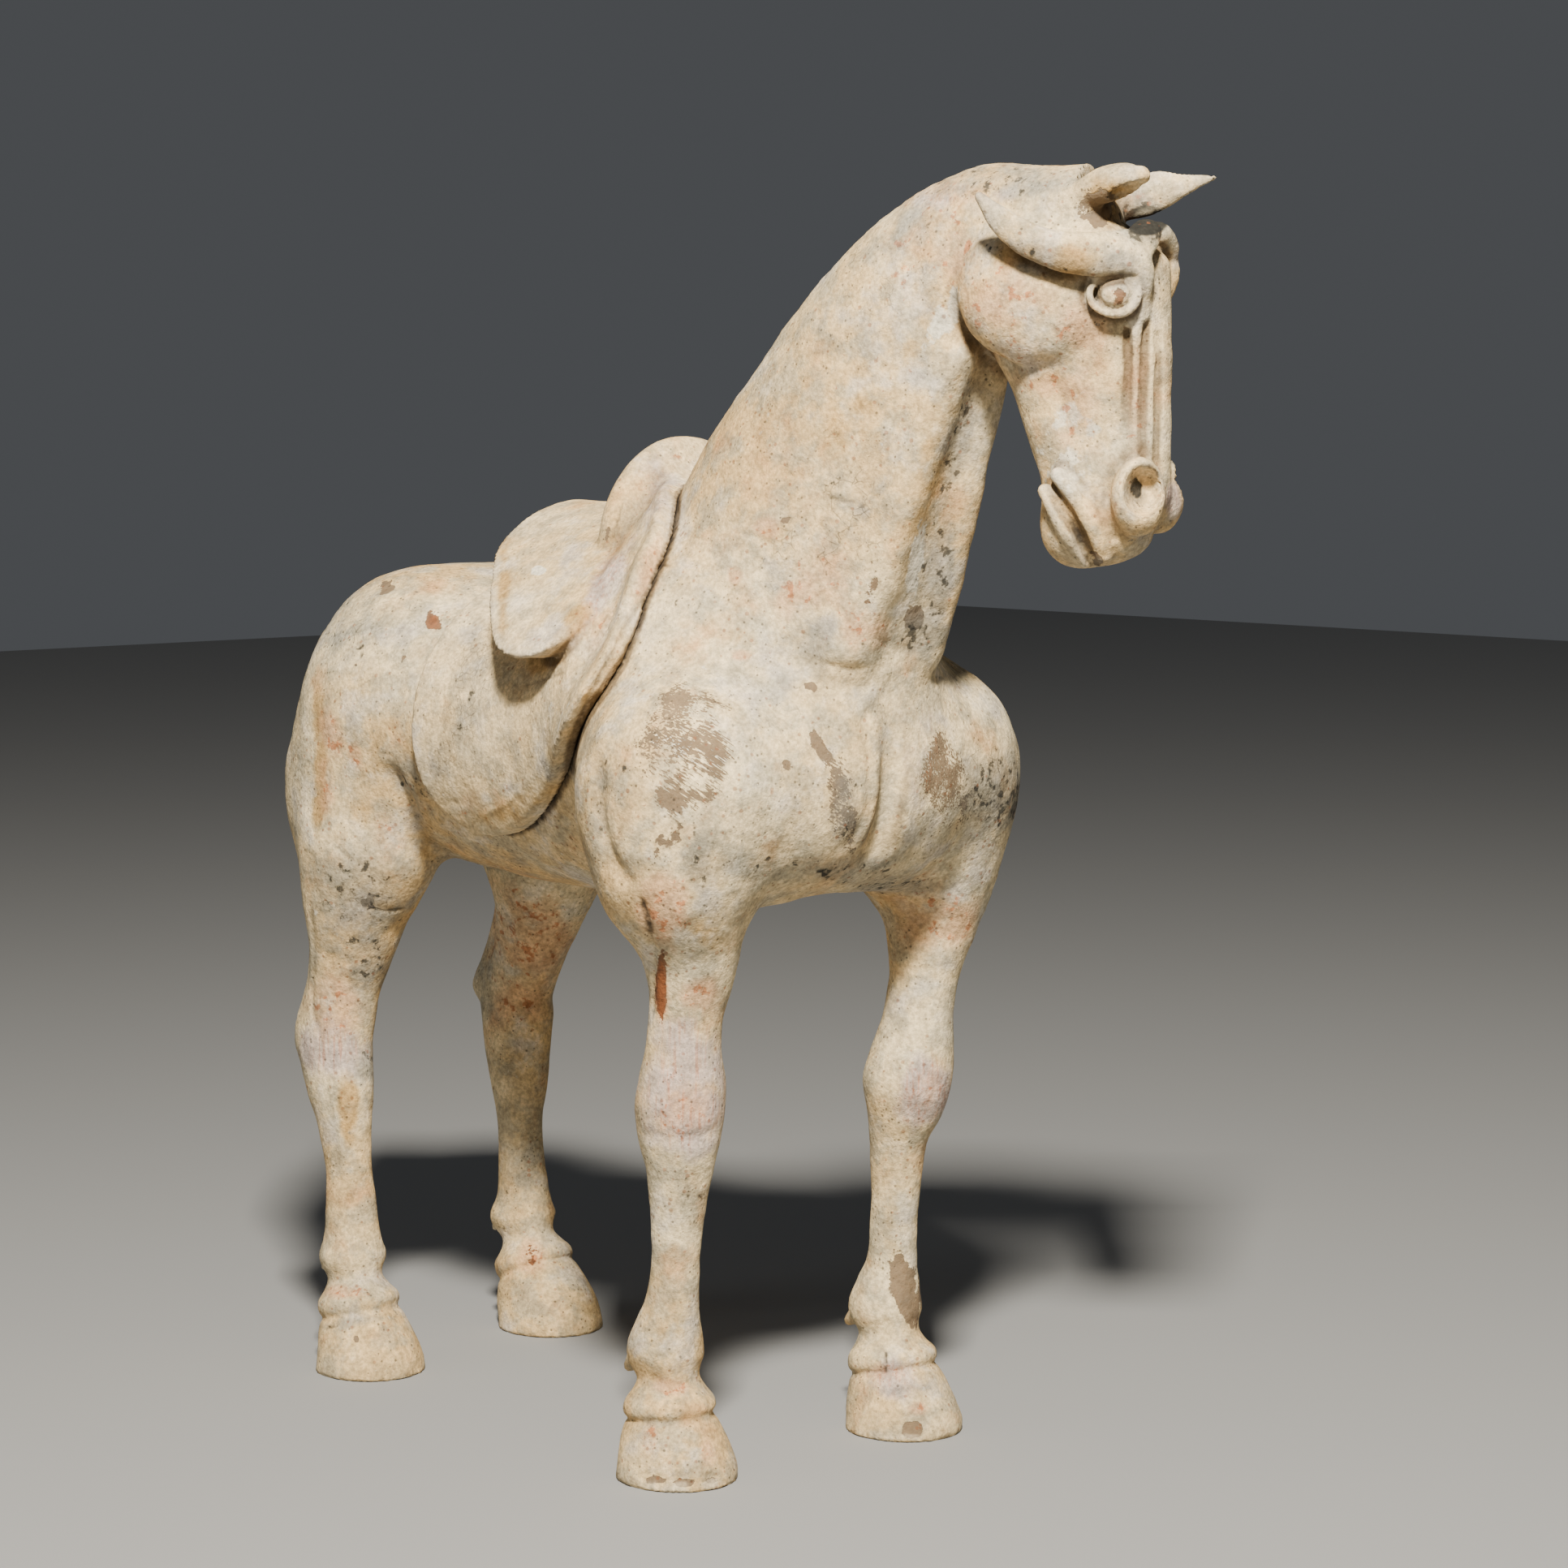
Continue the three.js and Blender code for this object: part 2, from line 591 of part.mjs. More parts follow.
// The largest closed piece of a surface, with its points numbered afresh
function largestPiece({ points, faces }) {
  const parent = points.map((_, i) => i);
  const root = (i) => {
    while (parent[i] !== i) {
      parent[i] = parent[parent[i]];
      i = parent[i];
    }
    return i;
  };
  for (const [a, b, c] of faces) {
    parent[root(a)] = root(b);
    parent[root(b)] = root(c);
  }
  const sizes = new Map();
  for (const [a] of faces) sizes.set(root(a), (sizes.get(root(a)) ?? 0) + 1);
  const biggest = [...sizes].sort((m, n) => n[1] - m[1])[0][0];
  const fresh = new Map();
  const kept = [];
  const keptFaces = faces.filter(([a]) => root(a) === biggest).map((face) => face.map((i) => {
    if (!fresh.has(i)) {
      fresh.set(i, kept.length);
      kept.push(points[i]);
    }
    return fresh.get(i);
  }));
  return { points: kept, faces: keptFaces };
}

const evenness = 0.02;
const headCare = 7;

// The carving is finest on the head, so an edge there counts for more.
function careOfHorse([x, , z]) {
  return x > 290 && z > 540 ? headCare : 1;
}

// Thinning: the edge whose loss moves the surface least is closed first, until few facets are left

function thinSurface({ points, faces }, target, weightAt = () => 1) {
  const place = points.map((p) => p.slice());
  const quadric = points.map(() => new Float64Array(10));
  const around = points.map(() => new Set());
  const alive = faces.map(() => true);
  const corner = faces.map((f) => f.slice());
  const normalOf = (a, b, c) => {
    const ux = b[0] - a[0];
    const uy = b[1] - a[1];
    const uz = b[2] - a[2];
    const vx = c[0] - a[0];
    const vy = c[1] - a[1];
    const vz = c[2] - a[2];
    return [uy * vz - uz * vy, uz * vx - ux * vz, ux * vy - uy * vx];
  };
  corner.forEach((f, n) => {
    const [a, b, c] = f.map((i) => place[i]);
    const normal = normalOf(a, b, c);
    const size = Math.hypot(...normal) || tiny;
    const [nx, ny, nz] = normal.map((v) => v / size);
    const off = -(nx * a[0] + ny * a[1] + nz * a[2]);
    const terms = [nx * nx, nx * ny, nx * nz, nx * off, ny * ny, ny * nz, ny * off, nz * nz, nz * off, off * off];
    for (const i of f) {
      around[i].add(n);
      for (let k = 0; k < 10; k += 1) quadric[i][k] += terms[k] * size;
    }
  });
  const errorAt = (q, [x, y, z]) => q[0] * x * x + 2 * q[1] * x * y + 2 * q[2] * x * z + 2 * q[3] * x
    + q[4] * y * y + 2 * q[5] * y * z + 2 * q[6] * y + q[7] * z * z + 2 * q[8] * z + q[9];
  const q = new Float64Array(10);
  const bestPlace = (i, j) => {
    const p = place[i];
    const r = place[j];
    for (let k = 0; k < 10; k += 1) q[k] = quadric[i][k] + quadric[j][k];
    const options = [p, r, [(p[0] + r[0]) / 2, (p[1] + r[1]) / 2, (p[2] + r[2]) / 2]];
    const [a, b, c, d, e, f, g, h, m] = q;
    const span = Math.hypot(p[0] - r[0], p[1] - r[1], p[2] - r[2]);
    const determinant = a * (e * h - f * f) - b * (b * h - c * f) + c * (b * f - c * e);
    if (Math.abs(determinant) > slight) {
      const x = -(d * (e * h - f * f) - b * (g * h - f * m) + c * (g * f - e * m)) / determinant;
      const y = -(a * (g * h - m * f) - d * (b * h - c * f) + c * (b * m - c * g)) / determinant;
      const z = -(a * (e * m - g * f) - b * (b * m - g * c) + d * (b * f - e * c)) / determinant;
      if (Math.hypot(x - p[0], y - p[1], z - p[2]) < 2 * span) options.push([x, y, z]);
    }
    let best = null;
    for (const option of options) {
      const error = errorAt(q, option);
      if (!best || error < best.error) best = { error, at: option };
    }
    best.error = (best.error + evenness * span * span) * weightAt(p);
    return best;
  };
  const heap = [];
  const push = (item) => {
    heap.push(item);
    let n = heap.length - 1;
    while (n > 0) {
      const up = (n - 1) >> 1;
      if (heap[up].error <= heap[n].error) break;
      [heap[up], heap[n]] = [heap[n], heap[up]];
      n = up;
    }
  };
  const pop = () => {
    const top = heap[0];
    const last = heap.pop();
    if (heap.length > 0) {
      heap[0] = last;
      let n = 0;
      for (;;) {
        const left = 2 * n + 1;
        const right = left + 1;
        let small = n;
        if (left < heap.length && heap[left].error < heap[small].error) small = left;
        if (right < heap.length && heap[right].error < heap[small].error) small = right;
        if (small === n) break;
        [heap[small], heap[n]] = [heap[n], heap[small]];
        n = small;
      }
    }
    return top;
  };
  const stamp = new Int32Array(points.length);
  const gone = new Uint8Array(points.length);
  const offer = (i, j) => {
    const best = bestPlace(i, j);
    push({ error: best.error, at: best.at, i, j, si: stamp[i], sj: stamp[j] });
  };
  const neighbours = (i) => {
    const near = new Set();
    for (const n of around[i]) for (const c of corner[n]) if (c !== i) near.add(c);
    return near;
  };
  const roundness = ([a, b, c], size) => size / Math.max(
    (a[0] - b[0]) ** 2 + (a[1] - b[1]) ** 2 + (a[2] - b[2]) ** 2,
    (b[0] - c[0]) ** 2 + (b[1] - c[1]) ** 2 + (b[2] - c[2]) ** 2,
    (c[0] - a[0]) ** 2 + (c[1] - a[1]) ** 2 + (c[2] - a[2]) ** 2,
  );
  const keepsShape = (i, j, at, least) => {
    for (const n of around[i]) {
      const [a, b, c] = corner[n];
      if (a === j || b === j || c === j) continue;
      const before = [place[a], place[b], place[c]];
      const after = [a === i ? at : place[a], b === i ? at : place[b], c === i ? at : place[c]];
      const m = normalOf(...before);
      const k = normalOf(...after);
      const dot = m[0] * k[0] + m[1] * k[1] + m[2] * k[2];
      const was = Math.hypot(...m);
      const is = Math.hypot(...k);
      if (was > 1e-2 && dot < 2 * least * was * is) return false;
      if (is < slight) return false;
      const round = roundness(after, is);
      if (round < least && round < roundness(before, was)) return false;
    }
    return true;
  };
  let left = corner.length;
  const closeEdge = ({ i, j, si, sj, at }, least) => {
    if (gone[i] || gone[j] || stamp[i] !== si || stamp[j] !== sj) return;
    const nearI = neighbours(i);
    const shared = [...neighbours(j)].filter((c) => nearI.has(c));
    if (shared.length !== 2) return;
    if (!keepsShape(i, j, at, least) || !keepsShape(j, i, at, least)) return;
    place[i] = at.slice();
    for (let k = 0; k < 10; k += 1) quadric[i][k] += quadric[j][k];
    for (const n of around[j]) {
      if (corner[n].includes(i)) {
        alive[n] = false;
        left -= 1;
        for (const c of corner[n]) if (c !== j) around[c].delete(n);
      } else {
        corner[n] = corner[n].map((c) => (c === j ? i : c));
        around[i].add(n);
      }
    }
    around[j].clear();
    gone[j] = 1;
    stamp[i] += 1;
    for (const c of neighbours(i)) offer(i, c);
  };
  for (const least of [0.2, 0.1, 0.04, 0.01]) {
    heap.length = 0;
    corner.forEach(([a, b, c], n) => {
      if (!alive[n]) return;
      if (a < b) offer(a, b);
      if (b < c) offer(b, c);
      if (c < a) offer(c, a);
    });
    while (left > target && heap.length > 0) closeEdge(pop(), least);
  }
  return largestPiece({ points: place, faces: corner.filter((_, n) => alive[n]) });
}

// Solids

function solidFrom({ points, faces }) {
  return new wasm.Manifold(new wasm.Mesh({
    numProp: 3,
    vertProperties: new Float32Array(points.flat()),
    triVerts: new Uint32Array(faces.flat()),
  }));
}

function surfaceOf(solid) {
  const mesh = solid.getMesh();
  const points = [];
  for (let i = 0; i < mesh.vertProperties.length; i += mesh.numProp) {
    points.push([...mesh.vertProperties.slice(i, i + 3)]);
  }
  const faces = [];
  for (let i = 0; i < mesh.triVerts.length; i += 3) faces.push([...mesh.triVerts.slice(i, i + 3)]);
  return { points, faces };
}

function boxSolid(low, high) {
  const size = high.map((v, k) => v - low[k]);
  const box = new THREE.BoxGeometry(...size);
  box.translate(...low.map((v, k) => v + size[k] / 2));
  const source = box.getAttribute('position');
  const names = new Map();
  const points = [];
  const faces = [];
  const at = (i) => {
    const p = [source.getX(i), source.getY(i), source.getZ(i)];
    const name = p.join();
    if (!names.has(name)) {
      names.set(name, points.length);
      points.push(p);
    }
    return names.get(name);
  };
  const index = box.getIndex();
  for (let i = 0; i < index.count; i += 3) {
    faces.push([at(index.getX(i)), at(index.getX(i + 1)), at(index.getX(i + 2))]);
  }
  return solidFrom({ points, faces });
}

// Each point of a thinned surface moved back onto the form that it was traced from
function settled({ points, faces }, field) {
  const step = 0.5;
  const farthest = 1.6;
  const moved = points.map(([x, y, z]) => {
    const here = field(x, y, z);
    const gx = (field(x + step, y, z) - field(x - step, y, z)) / (2 * step);
    const gy = (field(x, y + step, z) - field(x, y - step, z)) / (2 * step);
    const gz = (field(x, y, z + step) - field(x, y, z - step)) / (2 * step);
    const steepness = Math.max(gx * gx + gy * gy + gz * gz, 0.25);
    const size = THREE.MathUtils.clamp(-here / steepness, -farthest, farthest);
    return [x + gx * size, y + gy * size, z + gz * size];
  });
  return { points: moved, faces };
}

// The same surface pushed outwards by a clearance
function grown({ points, faces }, clearance) {
  const normals = points.map(() => new THREE.Vector3());
  for (const f of faces) {
    const [a, b, c] = f.map((i) => new THREE.Vector3(...points[i]));
    const normal = b.sub(a).cross(c.sub(a));
    f.forEach((i) => normals[i].add(normal));
  }
  return {
    points: points.map((p, i) => {
      const n = normals[i].normalize();
      return [p[0] + n.x * clearance, p[1] + n.y * clearance, p[2] + n.z * clearance];
    }),
    faces,
  };
}

function toScale({ points, faces }) {
  return { points: points.map((p) => p.map((v) => v * toReal)), faces };
}

function carved(field, box, triangles, weightAt) {
  const traced = largestPiece(traceSurface(field, box, meshCell));
  return toScale(settled(thinSurface(traced, triangles, weightAt), field));
}

const horseSurface = carved(horseField, horseBox, horseTriangles, careOfHorse);
const ground = boxSolid([-standHeight, -standHeight, -standHeight], [standHeight, standHeight, soleLevel]);
const horseSolid = solidFrom(horseSurface).subtract(ground);

const saddleSurface = carved(saddleField, saddleBox, saddleTriangles);
const fitted = solidFrom(saddleSurface).subtract(solidFrom(grown(horseSurface, saddleClearance)));
const saddleSolid = fitted.decompose().sort((a, b) => b.volume() - a.volume())[0];

// Materials

const clay = new THREE.MeshStandardMaterial({ color: 0xc9bda2, roughness: 0.9, metalness: 0 });
const slip = new THREE.MeshStandardMaterial({ color: 0xd3c6aa, roughness: 0.88, metalness: 0 });

function meshOf(solid, name, material) {
  const { points, faces } = surfaceOf(solid);
  const geometry = new THREE.BufferGeometry();
  geometry.setAttribute('position', new THREE.Float32BufferAttribute(points.flat(), 3));
  geometry.setIndex(faces.flat());
  geometry.computeVertexNormals();
  const mesh = new THREE.Mesh(geometry, material);
  mesh.name = name;
  return mesh;
}

const horse = new THREE.Group();
horse.add(meshOf(horseSolid, 'horse', clay));
horse.add(meshOf(saddleSolid, 'saddle', slip));

const whole = new THREE.Box3().setFromObject(horse);
const middle = whole.getCenter(new THREE.Vector3());
horse.position.set(-middle.x, -middle.y, -whole.min.z);

export default horse;
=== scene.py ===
import bpy
import math
import time
import numpy as np
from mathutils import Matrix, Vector
from mathutils.bvhtree import BVHTree


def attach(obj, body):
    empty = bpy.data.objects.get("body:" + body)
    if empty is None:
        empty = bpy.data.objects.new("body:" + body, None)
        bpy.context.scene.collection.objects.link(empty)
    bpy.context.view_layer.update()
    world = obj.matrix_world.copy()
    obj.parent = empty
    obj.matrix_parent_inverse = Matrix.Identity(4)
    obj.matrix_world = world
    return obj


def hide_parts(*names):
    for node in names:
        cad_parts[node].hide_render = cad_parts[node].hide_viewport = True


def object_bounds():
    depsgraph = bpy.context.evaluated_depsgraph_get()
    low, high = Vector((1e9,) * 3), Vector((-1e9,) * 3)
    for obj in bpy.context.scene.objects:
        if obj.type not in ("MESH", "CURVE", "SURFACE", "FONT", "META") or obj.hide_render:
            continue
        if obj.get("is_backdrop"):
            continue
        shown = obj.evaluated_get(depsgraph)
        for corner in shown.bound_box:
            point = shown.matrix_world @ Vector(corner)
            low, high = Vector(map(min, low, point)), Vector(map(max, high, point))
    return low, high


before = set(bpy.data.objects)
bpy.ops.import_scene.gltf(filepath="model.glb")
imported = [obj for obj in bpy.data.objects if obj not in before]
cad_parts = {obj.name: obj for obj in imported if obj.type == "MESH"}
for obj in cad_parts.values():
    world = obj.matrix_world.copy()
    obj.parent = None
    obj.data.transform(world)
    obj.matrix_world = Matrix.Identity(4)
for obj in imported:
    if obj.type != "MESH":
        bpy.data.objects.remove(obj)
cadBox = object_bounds()
started = time.time()


def note(text):
    print(f"{text}: {time.time() - started:.1f} s")


# Forms of the horse, drawn in millimetres on a horse 800 mm tall: +x ahead, +y its left, +z up.
poll = np.array([373.0, 33.0, 775.0])       # where the head hangs from the neck
headTurn = math.radians(28)                 # turn of the head to the left
farAway = 60.0                              # distance given to points well clear of a form


def smoothUnion(a, b, reach):
    h = np.maximum(reach - np.abs(a - b), 0) / reach
    return np.minimum(a, b) - h * h * reach / 4


def smoothCut(a, cutter, reach):
    return -smoothUnion(-a, cutter, reach)


def nearBox(p, low, high, margin):
    inside = np.ones(len(p), bool)
    for k in range(3):
        inside &= (p[:, k] > low[k] - margin) & (p[:, k] < high[k] + margin)
    return inside


def egg(centre, radii):
    centre, radii = np.array(centre, float), np.array(radii, float)

    def field(p):
        out = np.full(len(p), farAway)
        near = nearBox(p, centre - radii, centre + radii, 40)
        q = (p[near] - centre) / radii
        length = np.sqrt((q * q).sum(1))
        slope = np.sqrt(((q / radii) ** 2).sum(1)) + 1e-9
        out[near] = length * (length - 1) / slope
        return out
    return field


def smoothRows(rows, steps):
    rows = np.array(rows, float)
    out = []
    last = len(rows) - 1
    for i in range(last):
        before, after = rows[max(i - 1, 0)], rows[min(i + 2, last)]
        m0, m1 = (rows[i + 1] - before) / 2, (after - rows[i]) / 2
        for t in np.arange(steps) / steps:
            out.append((2 * t**3 - 3 * t**2 + 1) * rows[i] + (t**3 - 2 * t**2 + t) * m0
                       + (3 * t**2 - 2 * t**3) * rows[i + 1] + (t**3 - t**2) * m1)
    return np.array(out + [rows[last]])


def sweep(stations, steps=5):      # stations are x, y, z, half-width, depth in front, depth behind
    rows = smoothRows(stations, steps)
    reach = rows[:, 3:].max(1)[:, None]
    low, high = (rows[:, :3] - reach).min(0), (rows[:, :3] + reach).max(0)
    along = np.gradient(rows[:, :3], axis=0)
    along /= np.linalg.norm(along, axis=1)[:, None]
    side = np.array([0.0, 1.0, 0.0]) - along[:, 1:2] * along
    side /= np.linalg.norm(side, axis=1)[:, None]
    table = np.hstack([rows, side, np.cross(side, along), along])
    spans = np.diff(rows[:, :3], axis=0)
    squares = (spans ** 2).sum(1)

    def field(p):
        out = np.full(len(p), farAway)
        near = nearBox(p, low, high, 40)
        q = p[near]
        best = np.full(len(q), 1e9)
        place = np.zeros(len(q))
        for k, (start, span, square) in enumerate(zip(rows[:-1, :3], spans, squares)):
            d = q - start
            t = np.clip(d @ span / square, 0, 1)
            d -= t[:, None] * span
            gap = (d * d).sum(1)
            closer = gap < best
            best[closer] = gap[closer]
            place[closer] = k + t[closer]
        k = np.minimum(place.astype(int), len(rows) - 2)
        t = (place - k)[:, None]
        here = table[k] * (1 - t) + table[k + 1] * t
        d = q - here[:, :3]
        across = (d * here[:, 6:9]).sum(1)
        ahead = (d * here[:, 9:12]).sum(1)
        beyond = (d * here[:, 12:]).sum(1)
        half = here[:, 3]
        depth = np.where(ahead > 0, here[:, 4], here[:, 5])
        cap = np.minimum(half, depth)
        u, v, w = across / half, ahead / depth, beyond / cap
        size = np.sqrt(u * u + v * v + w * w)
        slope = np.sqrt((u / half) ** 2 + (v / depth) ** 2 + (w / cap) ** 2) + 1e-9
        out[near] = size * (size - 1) / slope
        return out
    return field


def rod(points, steps=4):
    return sweep([[x, y, z, r, r, r] for x, y, z, r in points], steps)


def bothSides(build):
    return [build(-1), build(1)]


def joined(d, fields, reach, p):
    for field in fields:
        d = smoothUnion(d, field(p), reach)
    return d


def carvedBy(d, fields, reach, p):
    for field in fields:
        d = smoothCut(d, field(p), reach)
    return d


def blended(d, steps, p):           # steps are what is done, with which forms, and how wide the blend is
    for way, fields, reach in steps:
        d = way(d, fields, reach, p)
    return d


trunk = sweep([
    [-219, 0, 450, 72, 72, 68],
    [-196, 0, 448, 100, 92, 95],
    [-150, 0, 448, 112, 98, 103],
    [-90, 0, 446, 109, 101, 99],
    [-20, 0, 445, 105, 102, 90],
    [50, 0, 448, 106, 104, 95],
    [110, 0, 452, 112, 104, 110],
    [165, 0, 448, 112, 98, 100],
    [196, 0, 438, 92, 80, 80]])
neck = sweep([
    [150, 0, 500, 90, 106, 94],
    [176, 0, 545, 78, 101, 98],
    [199, 0, 590, 66, 94, 94],
    [221, 2, 630, 56, 86, 85],
    [243, 4, 667, 50, 76, 76],
    [268, 8, 702, 45, 65, 67],
    [295, 15, 730, 41, 53, 59],
    [322, 23, 747, 38, 44, 52],
    [347, 30, 750, 36, 38, 49],
    [368, 34, 748, 33, 32, 45]])
throatCords = bothSides(lambda s: rod([[326, 14 + s * 16, 690, 9], [306, 8 + s * 20, 640, 11],
                                       [286, 3 + s * 25, 580, 13], [258, s * 30, 516, 15]]))
breast = bothSides(lambda s: egg([186, s * 50, 432], [78, 54, 76]))
shoulders = bothSides(lambda s: egg([186, s * 92, 436], [72, 66, 66]))
upperArms = bothSides(lambda s: egg([186, s * 105, 394], [54, 48, 66]))
shoulderBlades = bothSides(lambda s: egg([146, s * 66, 470], [54, 46, 84]))
croup = bothSides(lambda s: egg([-163, s * 50, 457], [82, 62, 80]))
thighs = bothSides(lambda s: egg([-176, s * 74, 400], [74, 45, 88]))

# Legs: a profile of height, half-width, depth in front and behind, hung on a spine of height, x, y
hoofProfile = [[-8, 37, 41, 35], [3, 37, 41, 35], [18, 33.5, 37, 32], [33, 29, 31, 28.5]]
forelegProfile = hoofProfile + [
    [37.5, 26, 28, 25.5], [42, 28.5, 30.5, 28], [48, 27.5, 29.5, 27], [55, 22, 24, 21], [63, 19, 20, 19],
    [76, 23, 22, 26], [92, 20, 19, 22], [112, 15, 16, 17], [150, 15, 15, 16], [188, 18, 18, 20],
    [210, 24, 25, 24],
    [230, 28, 28, 27], [250, 26, 27, 26], [270, 23, 24, 23], [292, 22.5, 23, 22.5], [318, 27, 28, 27],
    [350, 34, 37, 35], [380, 44, 48, 44]]
hindlegProfile = hoofProfile + [
    [37.5, 26, 28, 25.5], [42, 28, 30, 27.5], [48, 27.5, 29.5, 27], [55, 22, 24, 21], [63, 18.5, 19.5, 20],
    [76, 23, 22, 27], [92, 18, 20, 22], [130, 16, 18, 19], [165, 17, 20, 22], [195, 20, 25, 30],
    [222, 22, 27, 37],
    [240, 22, 26, 33], [262, 23, 26, 27], [290, 28, 31, 32], [325, 37, 38, 43], [358, 43, 44, 50]]
legSpines = {
    'rightFore': [[0, 167, -90], [50, 162, -90], [76, 160, -90], [112, 166, -90], [188, 174, -91],
                  [230, 174, -91], [285, 180, -91], [318, 184, -91], [350, 187, -94], [380, 186, -98]],
    'leftFore': [[0, 181, 90], [50, 170, 90], [76, 167, 90], [112, 172, 90], [188, 178, 90],
                 [230, 185, 91], [285, 190, 98], [350, 190, 108], [380, 188, 106]],
    'rightHind': [[0, -169, -83], [50, -182, -83], [74, -186, -83], [130, -189, -83], [195, -197, -83],
                  [222, -202, -83], [262, -195, -82], [325, -178, -80], [358, -168, -78]],
    'leftHind': [[0, -180, 83], [42, -199, 83], [74, -209, 83], [130, -211, 83], [195, -213, 83],
                 [240, -212, 83], [280, -194, 82], [325, -176, 80], [358, -168, 78]]}


def legAt(spine, z):
    spine = np.array(spine, float)
    return np.interp(z, spine[:, 0], spine[:, 1]), np.interp(z, spine[:, 0], spine[:, 2])


def leg(profile, spine):
    return sweep([[*legAt(spine, z), z, side, front, back] for z, side, front, back in profile], 4)


def spur(spine):
    x, y = legAt(spine, 66)
    return rod([[x - 14, y, 74, 9], [x - 30, y, 66, 6], [x - 37, y, 61, 3]], 1)


legs = [leg(forelegProfile if 'Fore' in name else hindlegProfile, spine)
        for name, spine in legSpines.items()]
spurs = [spur(spine) for spine in legSpines.values()]
hockTendons = [
    rod([[-228, -83, 224, 10], [-222, -82, 262, 9], [-206, -81, 310, 12]]),
    rod([[-250, 83, 240, 11], [-237, 83, 268, 10], [-211, 81, 312, 12]])]
tail = rod([[-262, 0, 510, 13], [-284, 0, 486, 12], [-287, 0, 452, 11], [-280, 0, 424, 8]])

# Head, in its own axes: ahead of the poll, to its left, and up
skull = sweep([
    [16, 0, -10, 33, 50, 20], [16, 0, -28, 38, 62, 40], [16, 0, -55, 37, 66, 45],
    [16, 0, -84, 31, 57, 46], [16, 0, -106, 27, 45, 46], [16, 0, -130, 24, 36, 46],
    [16, 0, -155, 22, 27, 45], [16, 0, -176, 22, 27, 43], [16, 0, -190, 20, 25, 36]])
jowls = bothSides(lambda s: egg([-7, s * 24, -50], [47, 24, 43]))
nosePlane = sweep([[46, 0, -40, 16, 16, 16], [48, 0, -110, 13, 15, 15], [50, 0, -165, 13, 13, 13]])
brows = bothSides(lambda s: rod([[24, s * 37, -38, 7], [40, s * 38, -33, 8], [54, s * 30, -38, 8],
                                 [52, s * 22, -60, 5], [48, s * 19, -80, 3]]))
foreheadHollow = egg([68, 0, -4], [27, 22, 26])
sockets = bothSides(lambda s: egg([41, s * 46, -53], [15, 14, 12]))
eyes = bothSides(lambda s: egg([41, s * 35, -53], [10, 10, 9]))
eyelids = bothSides(lambda s: rod([
    [41 + 12.5 * math.cos(a), s * (38 - 5 * math.cos(a)), -53 + 11 * math.sin(a), 2.8]
    for a in np.linspace(0, 2 * math.pi, 13)], 2))
noseRims = bothSides(lambda s: egg([53, s * 22, -168], [15, 16, 22]))
nostrils = bothSides(lambda s: egg([58, s * 34, -164], [10.5, 23, 15]))
upperLip = egg([34, 0, -187], [20, 22, 16])
lowerLip = egg([10, 0, -187], [19, 21, 18])
lipRolls = bothSides(lambda s: rod([[6, s * 25, -156, 5], [18, s * 24, -171, 5.5], [27, s * 22, -186, 5.5],
                                    [30, s * 15, -202, 5]]))
lipRolls += bothSides(lambda s: rod([[-3, s * 22, -165, 4.5], [6, s * 23, -181, 5.5], [13, s * 20, -194, 5],
                                     [19, s * 10, -204, 5]]))
mouthLine = bothSides(lambda s: rod([[-3, s * 27, -159, 2.4], [4, s * 28, -167, 3.6], [12, s * 27, -179, 4],
                                     [18.5, s * 24, -190, 4], [22, s * 18, -204, 4], [26, s * 5, -213, 3]]))
lipCreases = bothSides(lambda s: rod([[10, s * 31, -147, 2], [21, s * 30, -160, 3], [31, s * 29, -175, 3],
                                      [37, s * 25, -192, 3]]))
cheekHollows = bothSides(lambda s: rod([[5, s * 33, -100, 5], [11, s * 31, -120, 6], [18, s * 29, -142, 4]]))
jowlCreases = bothSides(lambda s: rod([[-42, s * 30, -96, 4], [-20, s * 37, -99, 6], [6, s * 40, -95, 6],
                                       [32, s * 38, -92, 3]]))
faceGrooves = bothSides(lambda s: rod([[46, s * 24, -74, 2], [46, s * 21, -105, 3], [44, s * 21, -145, 2]]))
faceGrooves += bothSides(lambda s: rod([[55, s * 19, -70, 2], [54, s * 17, -105, 3], [54, s * 16, -148, 2]]))
faceGrooves += bothSides(lambda s: rod([[61, s * 13, -76, 1.5], [61, s * 11, -105, 2.5],
                                        [60, s * 11, -148, 2]]))
rightEar = rod([[14, -24, 0, 8], [22, -26, 5, 9], [32, -28, 9, 10.5], [42, -29, 11, 10.5],
                [50, -30, 12.5, 8.5], [54, -30, 13.5, 6]])
rightEarHollow = rod([[42, -33, 3, 5], [58, -34, 3, 8]])
leftEar = sweep([[14, 24, -2, 9, 8, 8], [36, 27, 4, 6, 12, 10], [50, 31, 8, 6, 11, 12],
                 [64, 36, 12, 4, 6, 7], [79, 43, 16, 1.6, 1.8, 1.8]])
leftEarHollow = rod([[34, 38, 2, 5], [54, 42, 8, 4]])
locks = bothSides(lambda s: sweep([
    [53, s * 12, -17, 7, 9, 9], [50, s * 31, -26, 7.5, 11, 12], [32, s * 47, -31, 7.5, 13, 13],
    [6, s * 55, -27, 7, 11, 11], [-17, s * 57, -14, 5, 8, 8], [-32, s * 59, 2, 2.5, 2.5, 2.5]]))


def toHead(p):
    d = p - poll
    c, s = math.cos(headTurn), math.sin(headTurn)
    return np.stack([d[:, 0] * c + d[:, 1] * s, d[:, 1] * c - d[:, 0] * s, d[:, 2]], 1)


